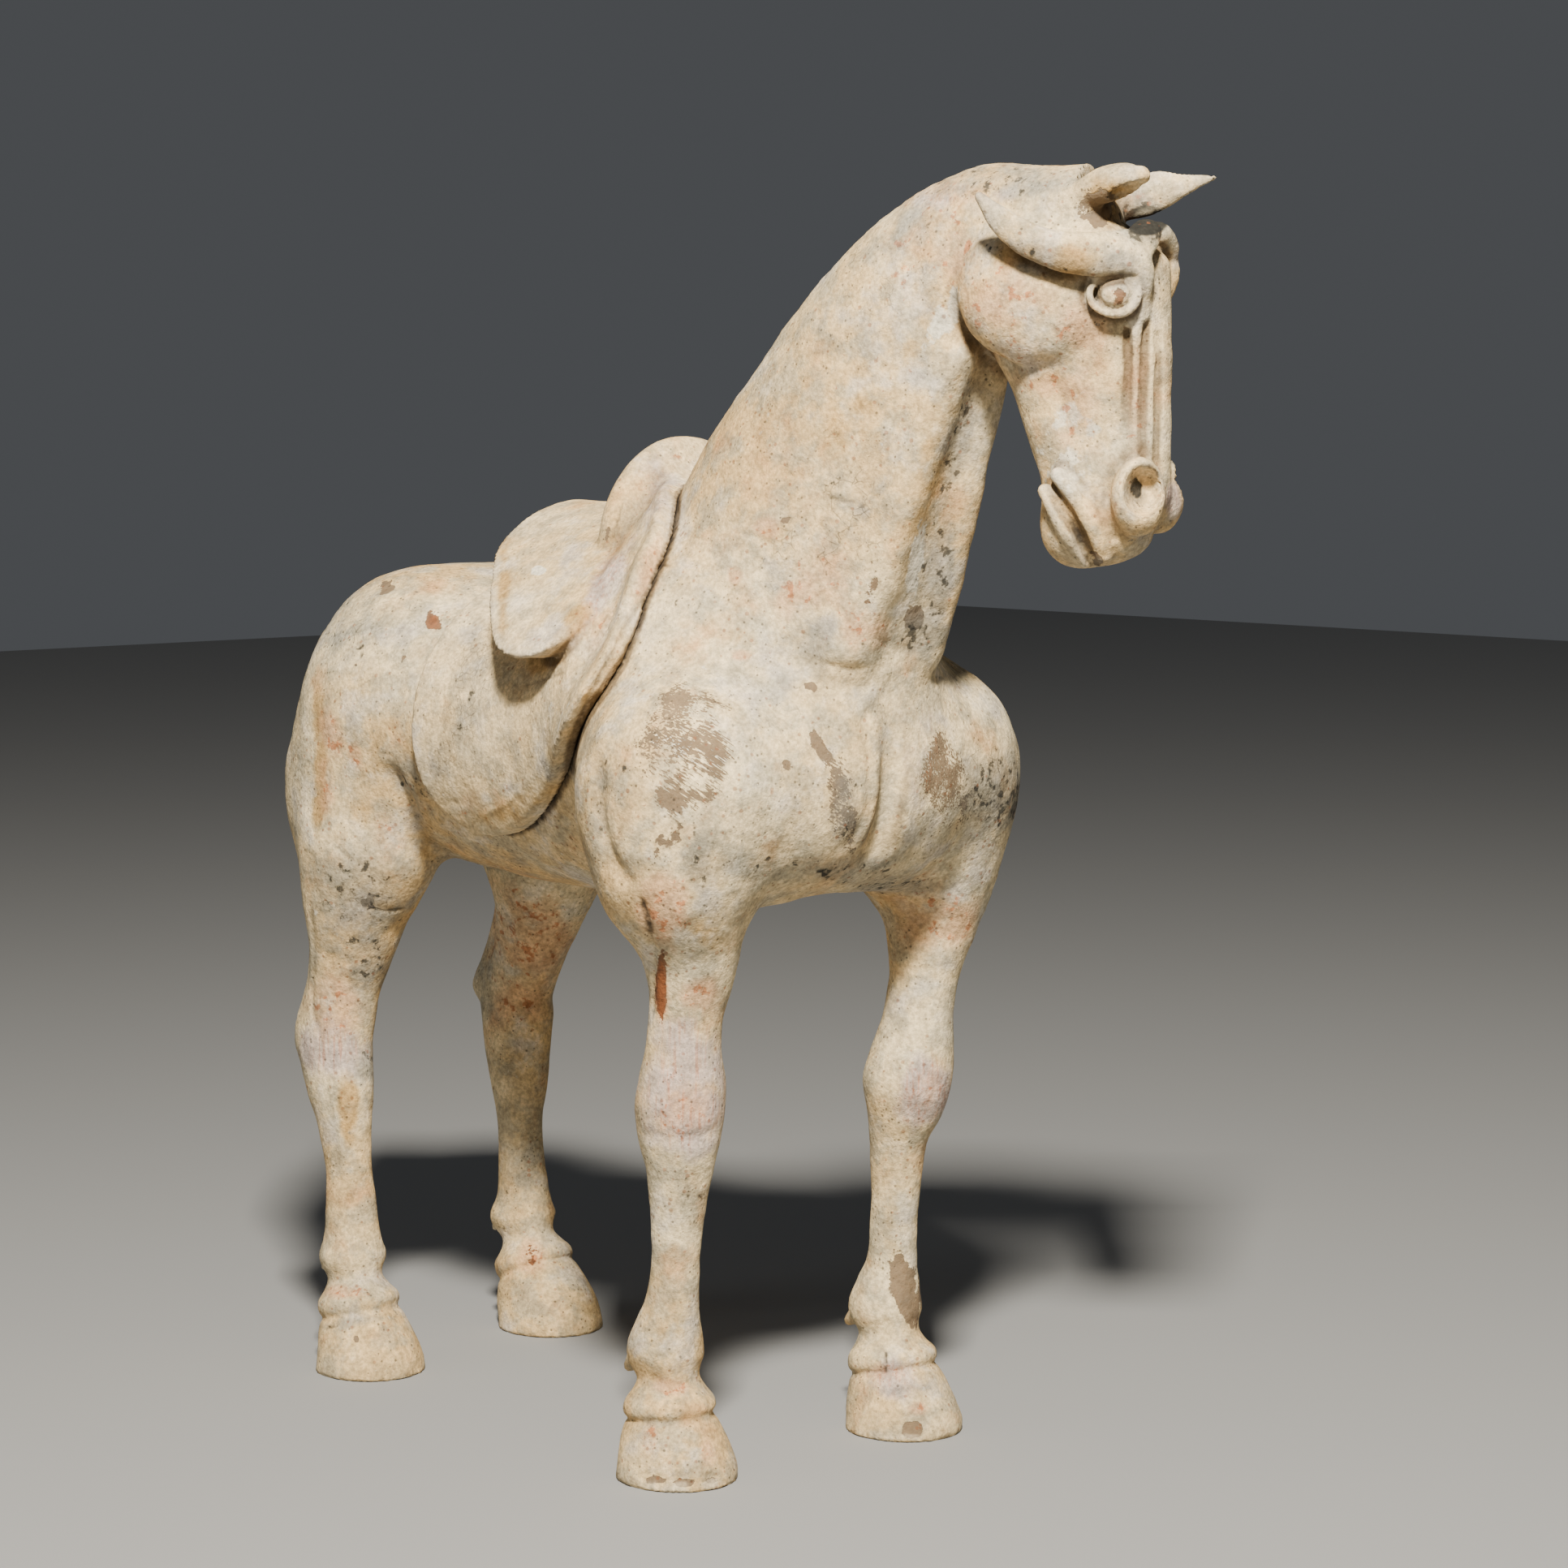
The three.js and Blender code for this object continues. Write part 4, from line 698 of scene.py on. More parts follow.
horseMarks = {
    'lines': [                              # width, height, darkness, picture pixels; the darkness of the wide folds and creases is painted shade
        (6, -2.0, 0.3, [(905, 806), (968, 811), (1029, 822), (1067, 826)]),
        (6, -1.2, 0.15, [(1106, 849), (1067, 888), (1073, 930), (1067, 1006), (1029, 1056)]),
        (6, -0.9, 0.2, [(983, 891), (1015, 925), (1030, 975), (1028, 1040)]),
        (6, 2.0, 0, [(1200, 425), (1170, 462), (1146, 492), (1122, 545)]),
        (10, -5.0, 0.3, [(474, 940), (500, 990), (518, 1035), (545, 1062), (590, 1080)]),
        (10, -4.0, 0.2, [(737, 925), (738, 1000), (752, 1058), (785, 1095)]),
        (2.2, -1.0, 0.7, [(412, 1040), (438, 1062), (470, 1084)]),
        (2.2, -1.0, 0.7, [(447, 792), (445, 814)]),
        (2.2, -0.9, 0.7, [(430, 1108), (470, 1122), (504, 1118)]),
        (2.2, -0.8, 0.6, [(918, 712), (935, 700), (958, 697), (985, 700)]),
        (2.0, -0.8, 0.6, [(1005, 600), (1022, 612), (1060, 620)]),
        (2.0, -0.8, 0.6, [(1000, 640), (1020, 662), (1028, 690)]),
        (2.0, -0.8, 0.6, [(1060, 780), (1092, 792), (1110, 806)]),
        (2.0, -0.8, 0.5, [(905, 655), (935, 662), (960, 680)]),
        (3.5, -1.5, 0.4, [(383, 1100), (388, 1170), (384, 1230), (396, 1284)]),
        (4, -1.3, 0.15, [(403, 1330), (411, 1400), (418, 1470)]),
        (3.2, -2.2, 0.9, [(788, 1098), (799, 1140), (805, 1200), (803, 1262)]),
        (4, 1.3, 0, [(842, 1105), (838, 1180), (843, 1265)]),
        (6, -1.3, 0.15, [(788, 1398), (840, 1404), (890, 1392)]),
        (1.8, -0.6, 0.8, [(846, 1480), (850, 1472), (862, 1474), (864, 1482)]),
        (5, -1.6, 0.25, [(800, 1698), (830, 1712), (862, 1700)]),
        (2.0, -0.8, 0.8, [(1092, 1664), (1091, 1694)]),
        (2.0, -0.9, 0.5, [(1361, 551), (1384, 537)]),
        (3, -1.6, 0.5, [(1306, 580), (1322, 592), (1341, 616)]),
        (3, -1.4, 0.5, [(1365, 637), (1371, 652), (1375, 668)]),
        (6, -2.0, 0.3, [(1292, 462), (1308, 505), (1322, 552)]),
        (2.6, -1.2, 1.0, [(1292, 604), (1310, 629), (1325, 652), (1341, 692)]),
        (2.0, -0.8, 0.6, [(446, 1625), (420, 1632), (390, 1640)])],
    'dents': [                              # x, y, radius and depth in millimetres
        (806, 1826, 8, 2.4), (838, 1829, 7, 2.2), (878, 1824, 6, 2.0), (514, 1690, 5, 2.0),
        (1350, 692, 6, 2.2), (1366, 698, 5, 2.0), (1092, 1628, 2.4, 1.4), (1124, 1762, 7, 0.7),
        (852, 1817, 2, 1), (890, 1826, 2, 1), (845, 868, 9, 0.6), (866, 915, 12, 0.6), (832, 985, 11, 0.6)],
    'bareClay': [                           # x, y, half length, half width, turn in degrees, strength
        (1352, 255, 30, 22, -20, 0.75), (1378, 366, 12, 10, 0, 0.7), (848, 900, 46, 52, 20, 0.62),
        (840, 975, 50, 30, 30, 0.6), (1250, 985, 16, 30, 0, 0.5), (452, 1110, 10, 14, 0, 0.6),
        (835, 868, 19, 30, 20, 0.9), (866, 915, 40, 24, 20, 0.85), (832, 985, 26, 24, 0, 0.85),
        (815, 930, 42, 46, -30, 0.55), (858, 958, 50, 44, 30, 0.5), (999, 845, 9, 5, 0, 1.1),
        (972, 942, 7, 5, 0, 1.1), (1036, 985, 17, 64, -8, 0.7), (1010, 922, 8, 38, -28, 0.7),
        (1160, 955, 24, 52, 0, 0.8), (1185, 1000, 44, 22, -30, 0.45), (534, 766, 11, 13, 0, 1),
        (478, 724, 14, 9, -30, 0.8), (497, 812, 5, 5, 0, 0.9), (1125, 762, 14, 20, 0, 0.9),
        (1070, 724, 14, 34, 0, 0.5), (1115, 1588, 20, 46, -14, 1.0), (1124, 1762, 13, 11, 0, 1.2),
        (810, 1824, 15, 6, 0, 1), (843, 1827, 16, 6, 0, 1), (878, 1824, 8, 5, 0, 0.9),
        (655, 1545, 14, 16, 0, 0.6), (440, 1650, 6, 4, 0, 1), (1350, 690, 14, 8, 30, 0.8),
        (815, 1222, 7, 44, 0, 1.1), (820, 1040, 30, 40, 0, 0.5), (968, 640, 6, 5, 0, 0.9)],
    'redEarth': [
        (1378, 366, 26, 22, 0, 0.5), (1296, 470, 60, 20, 10, 0.6), (1260, 430, 40, 20, 0, 0.6),
        (1400, 480, 14, 90, 0, 0.55), (1240, 330, 30, 12, 0, 0.5), (1000, 720, 60, 50, 0, 0.45),
        (1240, 375, 55, 42, 0, 0.75), (1330, 402, 40, 30, 0, 0.6), (1330, 505, 28, 50, 0, 0.65),
        (1140, 300, 46, 80, 20, 0.55), (1190, 330, 30, 40, 0, 0.6), (410, 905, 14, 30, -20, 0.95),
        (437, 932, 9, 20, -10, 1), (400, 965, 12, 34, 0, 0.7), (480, 1030, 22, 28, 0, 0.7),
        (905, 708, 9, 9, 0, 0.95), (945, 650, 16, 14, 0, 0.8), (978, 735, 26, 26, 0, 0.75),
        (1060, 770, 40, 26, 0, 0.7), (915, 808, 14, 7, 0, 1), (820, 1120, 30, 46, 0, 0.9),
        (815, 1222, 8, 46, 0, 1.2), (862, 1225, 24, 18, 0, 0.85), (848, 1375, 34, 30, 0, 0.6),
        (412, 1240, 34, 34, 0, 0.8), (1140, 1340, 22, 30, 20, 0.6), (1165, 1130, 50, 44, 0, 0.75),
        (650, 1150, 60, 60, 0, 0.8), (640, 1240, 34, 30, 0, 0.7), (828, 1708, 22, 10, 0, 0.9),
        (425, 1592, 26, 9, 0, 0.85), (1095, 1690, 22, 12, 0, 0.7), (800, 1775, 12, 22, 0, 0.85),
        (1130, 1735, 14, 9, 0, 0.8), (870, 1790, 10, 18, 0, 0.75), (1360, 620, 20, 30, 0, 0.5),
        (1400, 250, 22, 14, 0, 0.6), (534, 766, 10, 12, 0, 1), (655, 1545, 18, 22, 0, 0.95)],
    'ochre': [
        (393, 965, 9, 62, 4, 0.9), (392, 885, 8, 34, 0, 0.7), (442, 1005, 16, 22, 0, 0.6),
        (430, 1362, 14, 46, 0, 0.9), (868, 1150, 26, 16, 30, 0.7), (818, 1650, 12, 26, 0, 0.5),
        (1370, 246, 34, 26, 0, 0.85), (1290, 318, 80, 18, 10, 0.8), (1100, 1500, 12, 60, 0, 0.4),
        (1150, 560, 20, 60, 20, 0.5), (960, 790, 60, 14, 5, 0.4), (1045, 520, 34, 50, 20, 0.45)],
    # soot stains, and painted shade: the throat under the head, the undersides of chest and belly, the far
    # hind leg and the forehead between the locks are darkened here as painted shadow
    'sootAndShade': [
        (1400, 603, 13, 20, -10, 1.1), (1230, 222, 130, 24, 0, 0.8), (1110, 285, 60, 30, -35, 0.5),
        (1290, 322, 90, 20, 8, 0.55), (440, 1095, 70, 60, 0, 0.75), (1370, 258, 34, 14, 0, 0.6),
        (1176, 560, 14, 90, 14, 0.95), (1160, 700, 14, 90, 8, 0.95), (1240, 985, 30, 44, 0, 1.02),
        (1378, 345, 26, 10, 0, 0.8), (1045, 1005, 22, 60, 0, 0.75), (742, 990, 14, 70, 0, 0.7),
        (1100, 1090, 60, 14, 0, 0.9), (505, 960, 20, 60, -20, 0.6), (835, 760, 30, 40, 0, 0.5),
        (1222, 975, 42, 58, 30, 0.95), (930, 1065, 60, 18, 0, 0.7), (1050, 1072, 66, 20, 0, 0.95),
        (1014, 1075, 14, 10, 0, 1.1), (862, 1055, 18, 40, 0, 0.8), (770, 960, 26, 66, 0, 0.55),
        (1132, 785, 30, 28, 0, 1), (1145, 690, 16, 60, 10, 0.7), (1160, 620, 14, 60, 20, 0.6),
        (1050, 590, 56, 50, 0, 0.45), (1010, 660, 50, 34, 0, 0.45), (1000, 785, 44, 22, 0, 0.6),
        (955, 715, 26, 16, 0, 0.5), (840, 745, 22, 30, 0, 0.45), (430, 770, 50, 56, 0, 0.5),
        (600, 1065, 60, 18, 0, 0.6), (450, 1180, 34, 40, 0, 0.8), (455, 1312, 14, 24, 0, 0.75),
        (640, 1440, 26, 40, 0, 0.65), (598, 1210, 20, 50, 0, 0.6), (1412, 272, 44, 30, 0, 1.15),
        (1385, 318, 20, 10, 0, 0.8), (1395, 605, 10, 16, 0, 0.9), (1355, 695, 22, 8, 20, 0.7),
        (430, 1630, 60, 6, -8, 0.6), (835, 1752, 60, 6, 0, 0.5), (1100, 1712, 50, 6, -5, 0.5),
        (1140, 420, 30, 50, 0, 0.3), (1030, 420, 60, 40, 0, 0.35), (960, 850, 30, 20, 0, 0.35)],
    'lilac': [
        (845, 1350, 50, 62, 0, 0.9), (850, 1280, 42, 30, 0, 0.6), (1140, 1345, 32, 44, 30, 0.85),
        (410, 1290, 36, 34, 0, 0.75), (1092, 1700, 34, 22, 0, 0.6), (1105, 1690, 24, 14, 0, 0.5),
        (1446, 615, 10, 24, 0, 0.9), (1170, 240, 80, 16, 0, 0.4), (1140, 930, 24, 60, 0, 0.3)],
    'brushed': [(845, 920, 74, 70, 0, 1), (1036, 985, 22, 66, 0, 0.8), (1160, 960, 34, 60, 0, 0.8)],
    'crackled': [
        (1010, 640, 90, 110, 0, 0.6), (900, 880, 120, 60, 0, 0.3), (1200, 960, 60, 70, 0, 0.6),
        (1090, 360, 90, 80, 0, 0.45), (450, 800, 80, 80, 0, 0.4), (450, 1130, 60, 80, 0, 0.5)],
    'paleChalk': [
        (1130, 690, 10, 44, 10, 0.8), (1165, 390, 16, 40, 30, 0.7), (1315, 560, 40, 60, 0, 0.5),
        (845, 925, 50, 40, 0, 0.5), (1345, 372, 16, 12, 0, 0.6), (1035, 1005, 16, 40, 0, 0.4)]}

saddleMarks = {
    'lines': [                              # width, height, darkness, picture pixels; darkness of cracks, and painted shade in the grooves
        (3.2, -1.2, 0.5, [(829, 632), (811, 696), (790, 740), (757, 798), (722, 868), (706, 905)]),
        (2.0, -0.8, 0.5, [(770, 612), (756, 660), (742, 706)]),
        (2.0, -0.6, 0.5, [(640, 847), (668, 838), (700, 827)]),
        (2.4, -0.8, 0.4, [(800, 640), (788, 672), (776, 700)]),
        (2.4, 0.8, 0, [(690, 905), (665, 945), (630, 985), (590, 1008)])],
    'dents': [                              # x, y, radius and depth in millimetres
        (617, 700, 4, 0.8), (640, 812, 4, 0.8), (706, 900, 4, 1.0), (560, 990, 4, 0.7)],
    'bareClay': [                           # x, y, half length, half width, turn in degrees, strength
        (746, 660, 5, 26, 20, 0.5), (560, 1000, 10, 6, 0, 0.6), (707, 640, 5, 4, 0, 0.6)],
    'redEarth': [
        (800, 700, 12, 90, 24, 0.7), (745, 770, 12, 50, 30, 0.5), (600, 985, 40, 16, 0, 0.45),
        (830, 580, 40, 34, 0, 0.4)],
    'ochre': [
        (700, 775, 13, 46, 40, 0.95), (672, 812, 26, 16, 0, 0.7), (620, 720, 8, 60, 0, 0.7),
        (640, 990, 60, 16, -20, 0.5), (740, 700, 12, 60, 20, 0.45)],
    'sootAndShade': [
        (580, 850, 26, 84, 14, 0.6), (548, 935, 14, 34, 20, 0.6), (735, 845, 14, 50, 34, 0.4),
        (655, 930, 60, 30, 0, 0.25), (700, 930, 10, 40, 40, 0.6)],
    'lilac': [(745, 720, 16, 70, 26, 0.7), (800, 600, 30, 40, 0, 0.4)],
    'brushed': [(745, 720, 22, 90, 26, 0.5)],
    'crackled': [(578, 850, 28, 92, 14, 1), (550, 930, 16, 30, 14, 0.9)],
    'paleChalk': [(664, 703, 8, 6, 0, 1.3), (690, 880, 30, 30, 0, 0.3)]}

# Materials: cream slip over grey clay, worn, stained and cracked, with painted shade in hollows, creases and
# the darkest patches

def tone(red, green, blue):                 # a screen colour as the light that it stands for
    return tuple(((v / 255 + 0.055) / 1.055) ** 2.4 for v in (red, green, blue)) + (1,)


def put(tree, socket, value):
    if isinstance(value, bpy.types.NodeSocket):
        tree.links.new(value, socket)
    else:
        socket.default_value = value


def maths(tree, operation, a, b=0.0, clamped=False):
    node = tree.nodes.new('ShaderNodeMath')
    node.operation = operation
    node.use_clamp = clamped
    put(tree, node.inputs[0], a)
    put(tree, node.inputs[1], b)
    return node.outputs[0]


def between(tree, value, low, high, toLow=0.0, toHigh=1.0):
    node = tree.nodes.new('ShaderNodeMapRange')
    node.interpolation_type = 'SMOOTHSTEP'
    for socket, item in zip(node.inputs[:5], (value, low, high, toLow, toHigh)):
        put(tree, socket, item)
    return node.outputs[0]


def mixed(tree, share, a, b, way='MIX'):
    node = tree.nodes.new('ShaderNodeMix')
    node.data_type = 'RGBA'
    node.blend_type = way
    node.clamp_factor = True
    put(tree, node.inputs[0], share)
    put(tree, node.inputs[6], a)
    put(tree, node.inputs[7], b)
    return node.outputs[2]


def noise(tree, place, scale, detail=2.0, roughness=0.5):
    node = tree.nodes.new('ShaderNodeTexNoise')
    for name, value in (('Vector', place), ('Scale', scale), ('Detail', detail), ('Roughness', roughness)):
        put(tree, node.inputs[name], value)
    return node.outputs[0]


def vectorMaths(tree, operation, a, b):
    node = tree.nodes.new('ShaderNodeVectorMath')
    node.operation = operation
    put(tree, node.inputs[0], a)
    socket = node.inputs['Scale'] if operation == 'SCALE' else node.inputs[1]
    put(tree, socket, b)
    return node.outputs['Value' if operation == 'DOT_PRODUCT' else 'Vector']


def shaderGroup(name, inputs, outputs, build):      # inputs: name to (kind, value)
    group = bpy.data.node_groups.new(name, 'ShaderNodeTree')
    for label, (kind, value) in inputs.items():
        socket = group.interface.new_socket(label, in_out='INPUT', socket_type='NodeSocket' + kind)
        if value is not None:
            socket.default_value = value
    for label in outputs:
        group.interface.new_socket(label, in_out='OUTPUT', socket_type='NodeSocketFloat')
    entry = group.nodes.new('NodeGroupInput')
    leave = group.nodes.new('NodeGroupOutput')
    results = build(group, {label: entry.outputs[label] for label in inputs})
    for label, result in zip(outputs, results):
        group.links.new(result, leave.inputs[label])
    return group


def useGroup(tree, group, **values):
    node = tree.nodes.new('ShaderNodeGroup')
    node.node_tree = group
    for name, value in values.items():
        put(tree, node.inputs[name], value)
    return node.outputs


def buildFlaking(tree, inputs):             # ragged-edged places where a layer is gone or laid on
    wear = maths(tree, 'MULTIPLY', maths(tree, 'SUBTRACT', inputs['Ragged'], 0.5), 2.4)
    level = maths(tree, 'ADD', inputs['Cover'], wear)
    low = maths(tree, 'SUBTRACT', 0.5, inputs['Softness'])
    high = maths(tree, 'ADD', 0.5, inputs['Softness'])
    return [between(tree, level, low, high)]


def buildSpeckle(tree, inputs):             # scattered grains, in loose clusters
    cells = tree.nodes.new('ShaderNodeTexVoronoi')
    put(tree, cells.inputs['Vector'], inputs['Place'])
    put(tree, cells.inputs['Scale'], inputs['Scale'])
    chance = tree.nodes.new('ShaderNodeSeparateColor')
    tree.links.new(cells.outputs['Color'], chance.inputs[0])
    cluster = noise(tree, inputs['Place'], maths(tree, 'MULTIPLY', inputs['Scale'], 0.12), 3.0)
    cover = maths(tree, 'MULTIPLY', inputs['Cover'], between(tree, cluster, 0.38, 0.66))
    kept = maths(tree, 'LESS_THAN', chance.outputs[0], cover)
    size = maths(tree, 'MULTIPLY', maths(tree, 'ADD', chance.outputs[1], 0.35), 0.3)
    grain = between(tree, cells.outputs['Distance'], size, maths(tree, 'MULTIPLY', size, 0.5))
    return [maths(tree, 'MULTIPLY', kept, grain)]


def buildCrackle(tree, inputs):             # a broken net of hairline cracks
    shift = noise(tree, inputs['Place'], maths(tree, 'MULTIPLY', inputs['Scale'], 0.7), 3.0)
    bend = maths(tree, 'DIVIDE', shift, maths(tree, 'MULTIPLY', inputs['Scale'], 0.8))
    place = vectorMaths(tree, 'ADD', inputs['Place'], vectorMaths(tree, 'SCALE', (1, 0.7, -0.8), bend))
    cells = tree.nodes.new('ShaderNodeTexVoronoi')
    cells.feature = 'DISTANCE_TO_EDGE'
    put(tree, cells.inputs['Vector'], place)
    put(tree, cells.inputs['Scale'], inputs['Scale'])
    hairline = between(tree, cells.outputs['Distance'], inputs['Width'], 0.0)
    broken = noise(tree, inputs['Place'], maths(tree, 'MULTIPLY', inputs['Scale'], 0.55), 2.0)
    shown = between(tree, maths(tree, 'ADD', inputs['Cover'], broken), 0.86, 1.04)
    return [maths(tree, 'MULTIPLY', hairline, shown)]


def buildBrushing(tree, inputs):            # fine scratches drawn out along one direction
    along = vectorMaths(tree, 'DOT_PRODUCT', inputs['Place'], inputs['Direction'])
    squeeze = vectorMaths(tree, 'SCALE', inputs['Direction'], maths(tree, 'MULTIPLY', along, 0.95))
    place = vectorMaths(tree, 'SUBTRACT', inputs['Place'], squeeze)
    return [noise(tree, place, inputs['Scale'], 3.0, 0.6)]


placeInput = {'Place': ('Vector', None)}
flaking = shaderGroup('clayFlaking', {'Ragged': ('Float', 0.5), 'Cover': ('Float', 0.0),
                                      'Softness': ('Float', 0.03)}, ['Mask'], buildFlaking)
speckle = shaderGroup('earthSpeckle', {**placeInput, 'Scale': ('Float', 300.0), 'Cover': ('Float', 0.1)},
                      ['Mask'], buildSpeckle)
crackle = shaderGroup('slipCrackle', {**placeInput, 'Scale': ('Float', 90.0), 'Width': ('Float', 0.04),
                                      'Cover': ('Float', 0.0)}, ['Mask'], buildCrackle)
brushing = shaderGroup('slipBrushing', {**placeInput, 'Direction': ('Vector', (0, 0, 1)),
                                        'Scale': ('Float', 600.0)}, ['Value'], buildBrushing)


def potteryMaterial(name, look):
    material = bpy.data.materials.new(name)
    material.use_nodes = True
    tree = material.node_tree
    shader = tree.nodes['Principled BSDF']
    place = tree.nodes.new('ShaderNodeTexCoord').outputs['Object']

    def mask(label):
        node = tree.nodes.new('ShaderNodeAttribute')
        node.attribute_name = label
        return node.outputs['Fac']

    def flakes(ragged, cover, softness):
        return useGroup(tree, flaking, Ragged=ragged, Cover=cover, Softness=softness)['Mask']

    def times(a, b):
        return maths(tree, 'MULTIPLY', a, b)

    def plus(a, b):
        return maths(tree, 'ADD', a, b)

    def less(a, b):
        return maths(tree, 'SUBTRACT', a, b)

    broad = noise(tree, place, 9.0, 4.0)
    middling = noise(tree, place, 44.0, 5.0, 0.62)
    fine = noise(tree, place, 360.0, 4.0, 0.68)
    hazes = noise(tree, place, 27.0, 4.0, 0.6)
    spots = noise(tree, place, 135.0, 4.0, 0.6)
    ragged = noise(tree, place, 70.0, 6.0, 0.64)
    otherHazes, otherSpots = less(1.0, hazes), less(1.0, spots)

    # The slip, with its stains
    colour = mixed(tree, between(tree, broad, 0.36, 0.64), look['cream'], look['warmCream'])
    greyed = times(between(tree, middling, 0.44, 0.60), look['greyness'])
    colour = mixed(tree, greyed, colour, look['greySlip'])
    colour = mixed(tree, times(between(tree, hazes, 0.5, 0.72), 0.6), colour, look['whiteSlip'])
    colour = mixed(tree, flakes(ragged, times(mask('paleChalk'), 0.9), 0.12), colour, look['whiteSlip'])
    colour = mixed(tree, times(flakes(hazes, times(mask('lilac'), 1.1), 0.4), 0.8), colour, look['lilac'])
    ochreHaze = flakes(otherHazes, plus(mask('ochre'), 0.04), 0.35)
    colour = mixed(tree, times(ochreHaze, 0.75), colour, look['ochre'])
    earthHaze = flakes(otherHazes, plus(times(mask('redEarth'), 0.9), look['haze']), 0.4)
    colour = mixed(tree, times(earthHaze, 0.6), colour, look['paleEarth'])
    earthSpots = flakes(spots, plus(times(mask('redEarth'), 0.5), -0.08), 0.1)
    colour = mixed(tree, times(earthSpots, 0.75), colour, look['redEarth'])

    # The clay where the slip is gone
    strokes = useGroup(tree, brushing, Place=place, Direction=look['brushWay'], Scale=880.0)['Value']
    upright = useGroup(tree, brushing, Place=place, Direction=(0, 0, 1), Scale=430.0)['Value']
    brushed = mask('brushed')
    scratch = times(less(strokes, 0.5), times(brushed, 3.4))
    bare = flakes(ragged, plus(plus(times(mask('bareClay'), 1.15), look['bareness']), scratch), 0.04)
    clay = mixed(tree, between(tree, fine, 0.35, 0.7), look['clay'], look['darkClay'])
    clay = mixed(tree, times(mask('redEarth'), 0.9), clay, look['rust'])
    colour = mixed(tree, bare, colour, clay)

    # Streaks, soot and flecks over both, with painted shade in the soot layers
    striae = times(between(tree, upright, 0.5, 0.64), times(mask('lilac'), 0.6))
    colour = mixed(tree, striae, colour, look['redEarth'])
    sootAndShadeHaze = flakes(hazes, plus(times(mask('sootAndShade'), 0.95), look['sooty']), 0.45)
    colour = mixed(tree, times(sootAndShadeHaze, 0.55), colour, look['blueGrey'])
    flecks = flakes(otherSpots, look['flecked'], 0.05)
    colour = mixed(tree, times(flecks, 0.55), colour, look['blueGrey'])
    sootAndShadeSpots = flakes(otherSpots, plus(times(mask('sootAndShade'), 0.52), -0.15), 0.12)
    colour = mixed(tree, times(sootAndShadeSpots, 0.85), colour, look['sootAndShade'])
    # full soot colour where the soot mask passes 1: painted shade in the nostril, on the forehead between
    # the locks and under the chest
    colour = mixed(tree, between(tree, mask('sootAndShade'), 0.98, 1.12), colour, look['sootAndShade'])

    # Cracks, grains, darkening in hollows and creases (earth and painted shade), painted shade along the
    # joint, and worn edges
    hairlines = useGroup(tree, crackle, Place=place, Scale=look['crackSize'], Width=0.05,
                         Cover=plus(times(mask('crackled'), 0.34), 0.2))['Mask']
    colour = mixed(tree, times(hairlines, 0.6), colour, look['sootAndShade'])
    grains = useGroup(tree, speckle, Place=place, Scale=330.0, Cover=look['speckled'])['Mask']
    colour = mixed(tree, times(grains, 0.65), colour, look['sootAndShade'])
    aside = vectorMaths(tree, 'ADD', place, (3.1, 1.7, 0.4))
    earthGrains = useGroup(tree, speckle, Place=aside, Scale=210.0, Cover=look['speckled'])['Mask']
    colour = mixed(tree, times(earthGrains, 0.55), colour, look['rust'])
    # darker in hollows and creases, found from the form: earth in the hollows and painted shade
    colour = mixed(tree, times(between(tree, mask('sunken'), 0.08, 0.6), 0.75), colour, look['hollowDirtAndShade'])
    exposed = times(between(tree, mask('exposed'), 0.25, 0.7), between(tree, middling, 0.4, 0.6))
    colour = mixed(tree, times(exposed, 0.4), colour, look['wornEdge'])
    # dark cracks, with painted shade along the creases, folds and the joint between the pieces
    colour = mixed(tree, times(between(tree, mask('cracksAndCreaseShade'), 0.12, 0.75), 0.9), colour, look['crackAndCreaseShade'])
    shade = times(between(tree, fine, 0.3, 0.7, 0.66, 1.16), between(tree, ragged, 0.3, 0.7, 1.14, 0.74))
    put(tree, shader.inputs['Base Color'], vectorMaths(tree, 'SCALE', colour, shade))
    shader.inputs['Roughness'].default_value = 0.88
    shader.inputs['Specular IOR Level'].default_value = 0.25

    height = plus(plus(times(fine, 0.5), times(middling, 2.2)), plus(times(bare, -0.45), times(ragged, 1.2)))
    relief = tree.nodes.new('ShaderNodeBump')           # height in millimetres
    relief.inputs['Strength'].default_value = 1
    relief.inputs['Distance'].default_value = 0.001
    tree.links.new(height, relief.inputs['Height'])
    tree.links.new(relief.outputs['Normal'], shader.inputs['Normal'])
    return material


paintedLook = {
    'cream': tone(224, 202, 158), 'warmCream': tone(208, 174, 120), 'whiteSlip': tone(238, 226, 198),
    'greySlip': tone(160, 153, 130), 'greyness': 0.6, 'lilac': tone(190, 170, 160),
    'ochre': tone(178, 138, 74), 'paleEarth': tone(206, 156, 112), 'redEarth': tone(172, 104, 62),
    'haze': 0.02, 'sooty': -0.02, 'flecked': 0.0, 'clay': tone(146, 124, 96), 'darkClay': tone(112, 92, 68),
    'rust': tone(132, 78, 44), 'blueGrey': tone(112, 113, 106), 'sootAndShade': tone(44, 42, 36),
    'hollowDirtAndShade': tone(84, 62, 38), 'wornEdge': tone(214, 198, 166), 'crackAndCreaseShade': tone(36, 29, 22), 'bareness': -0.17,
    'speckled': 0.6, 'crackSize': 120.0, 'brushWay': (0.545, 0.613, -0.572)}
saddleLook = {
    **paintedLook, 'cream': tone(226, 203, 160), 'warmCream': tone(214, 182, 130), 'greyness': 0.45,
    'sooty': -0.1, 'flecked': -0.12, 'bareness': -0.34, 'haze': -0.06, 'speckled': 0.2, 'crackSize': 170.0,
    'brushWay': (0.45, -0.2, -0.87)}


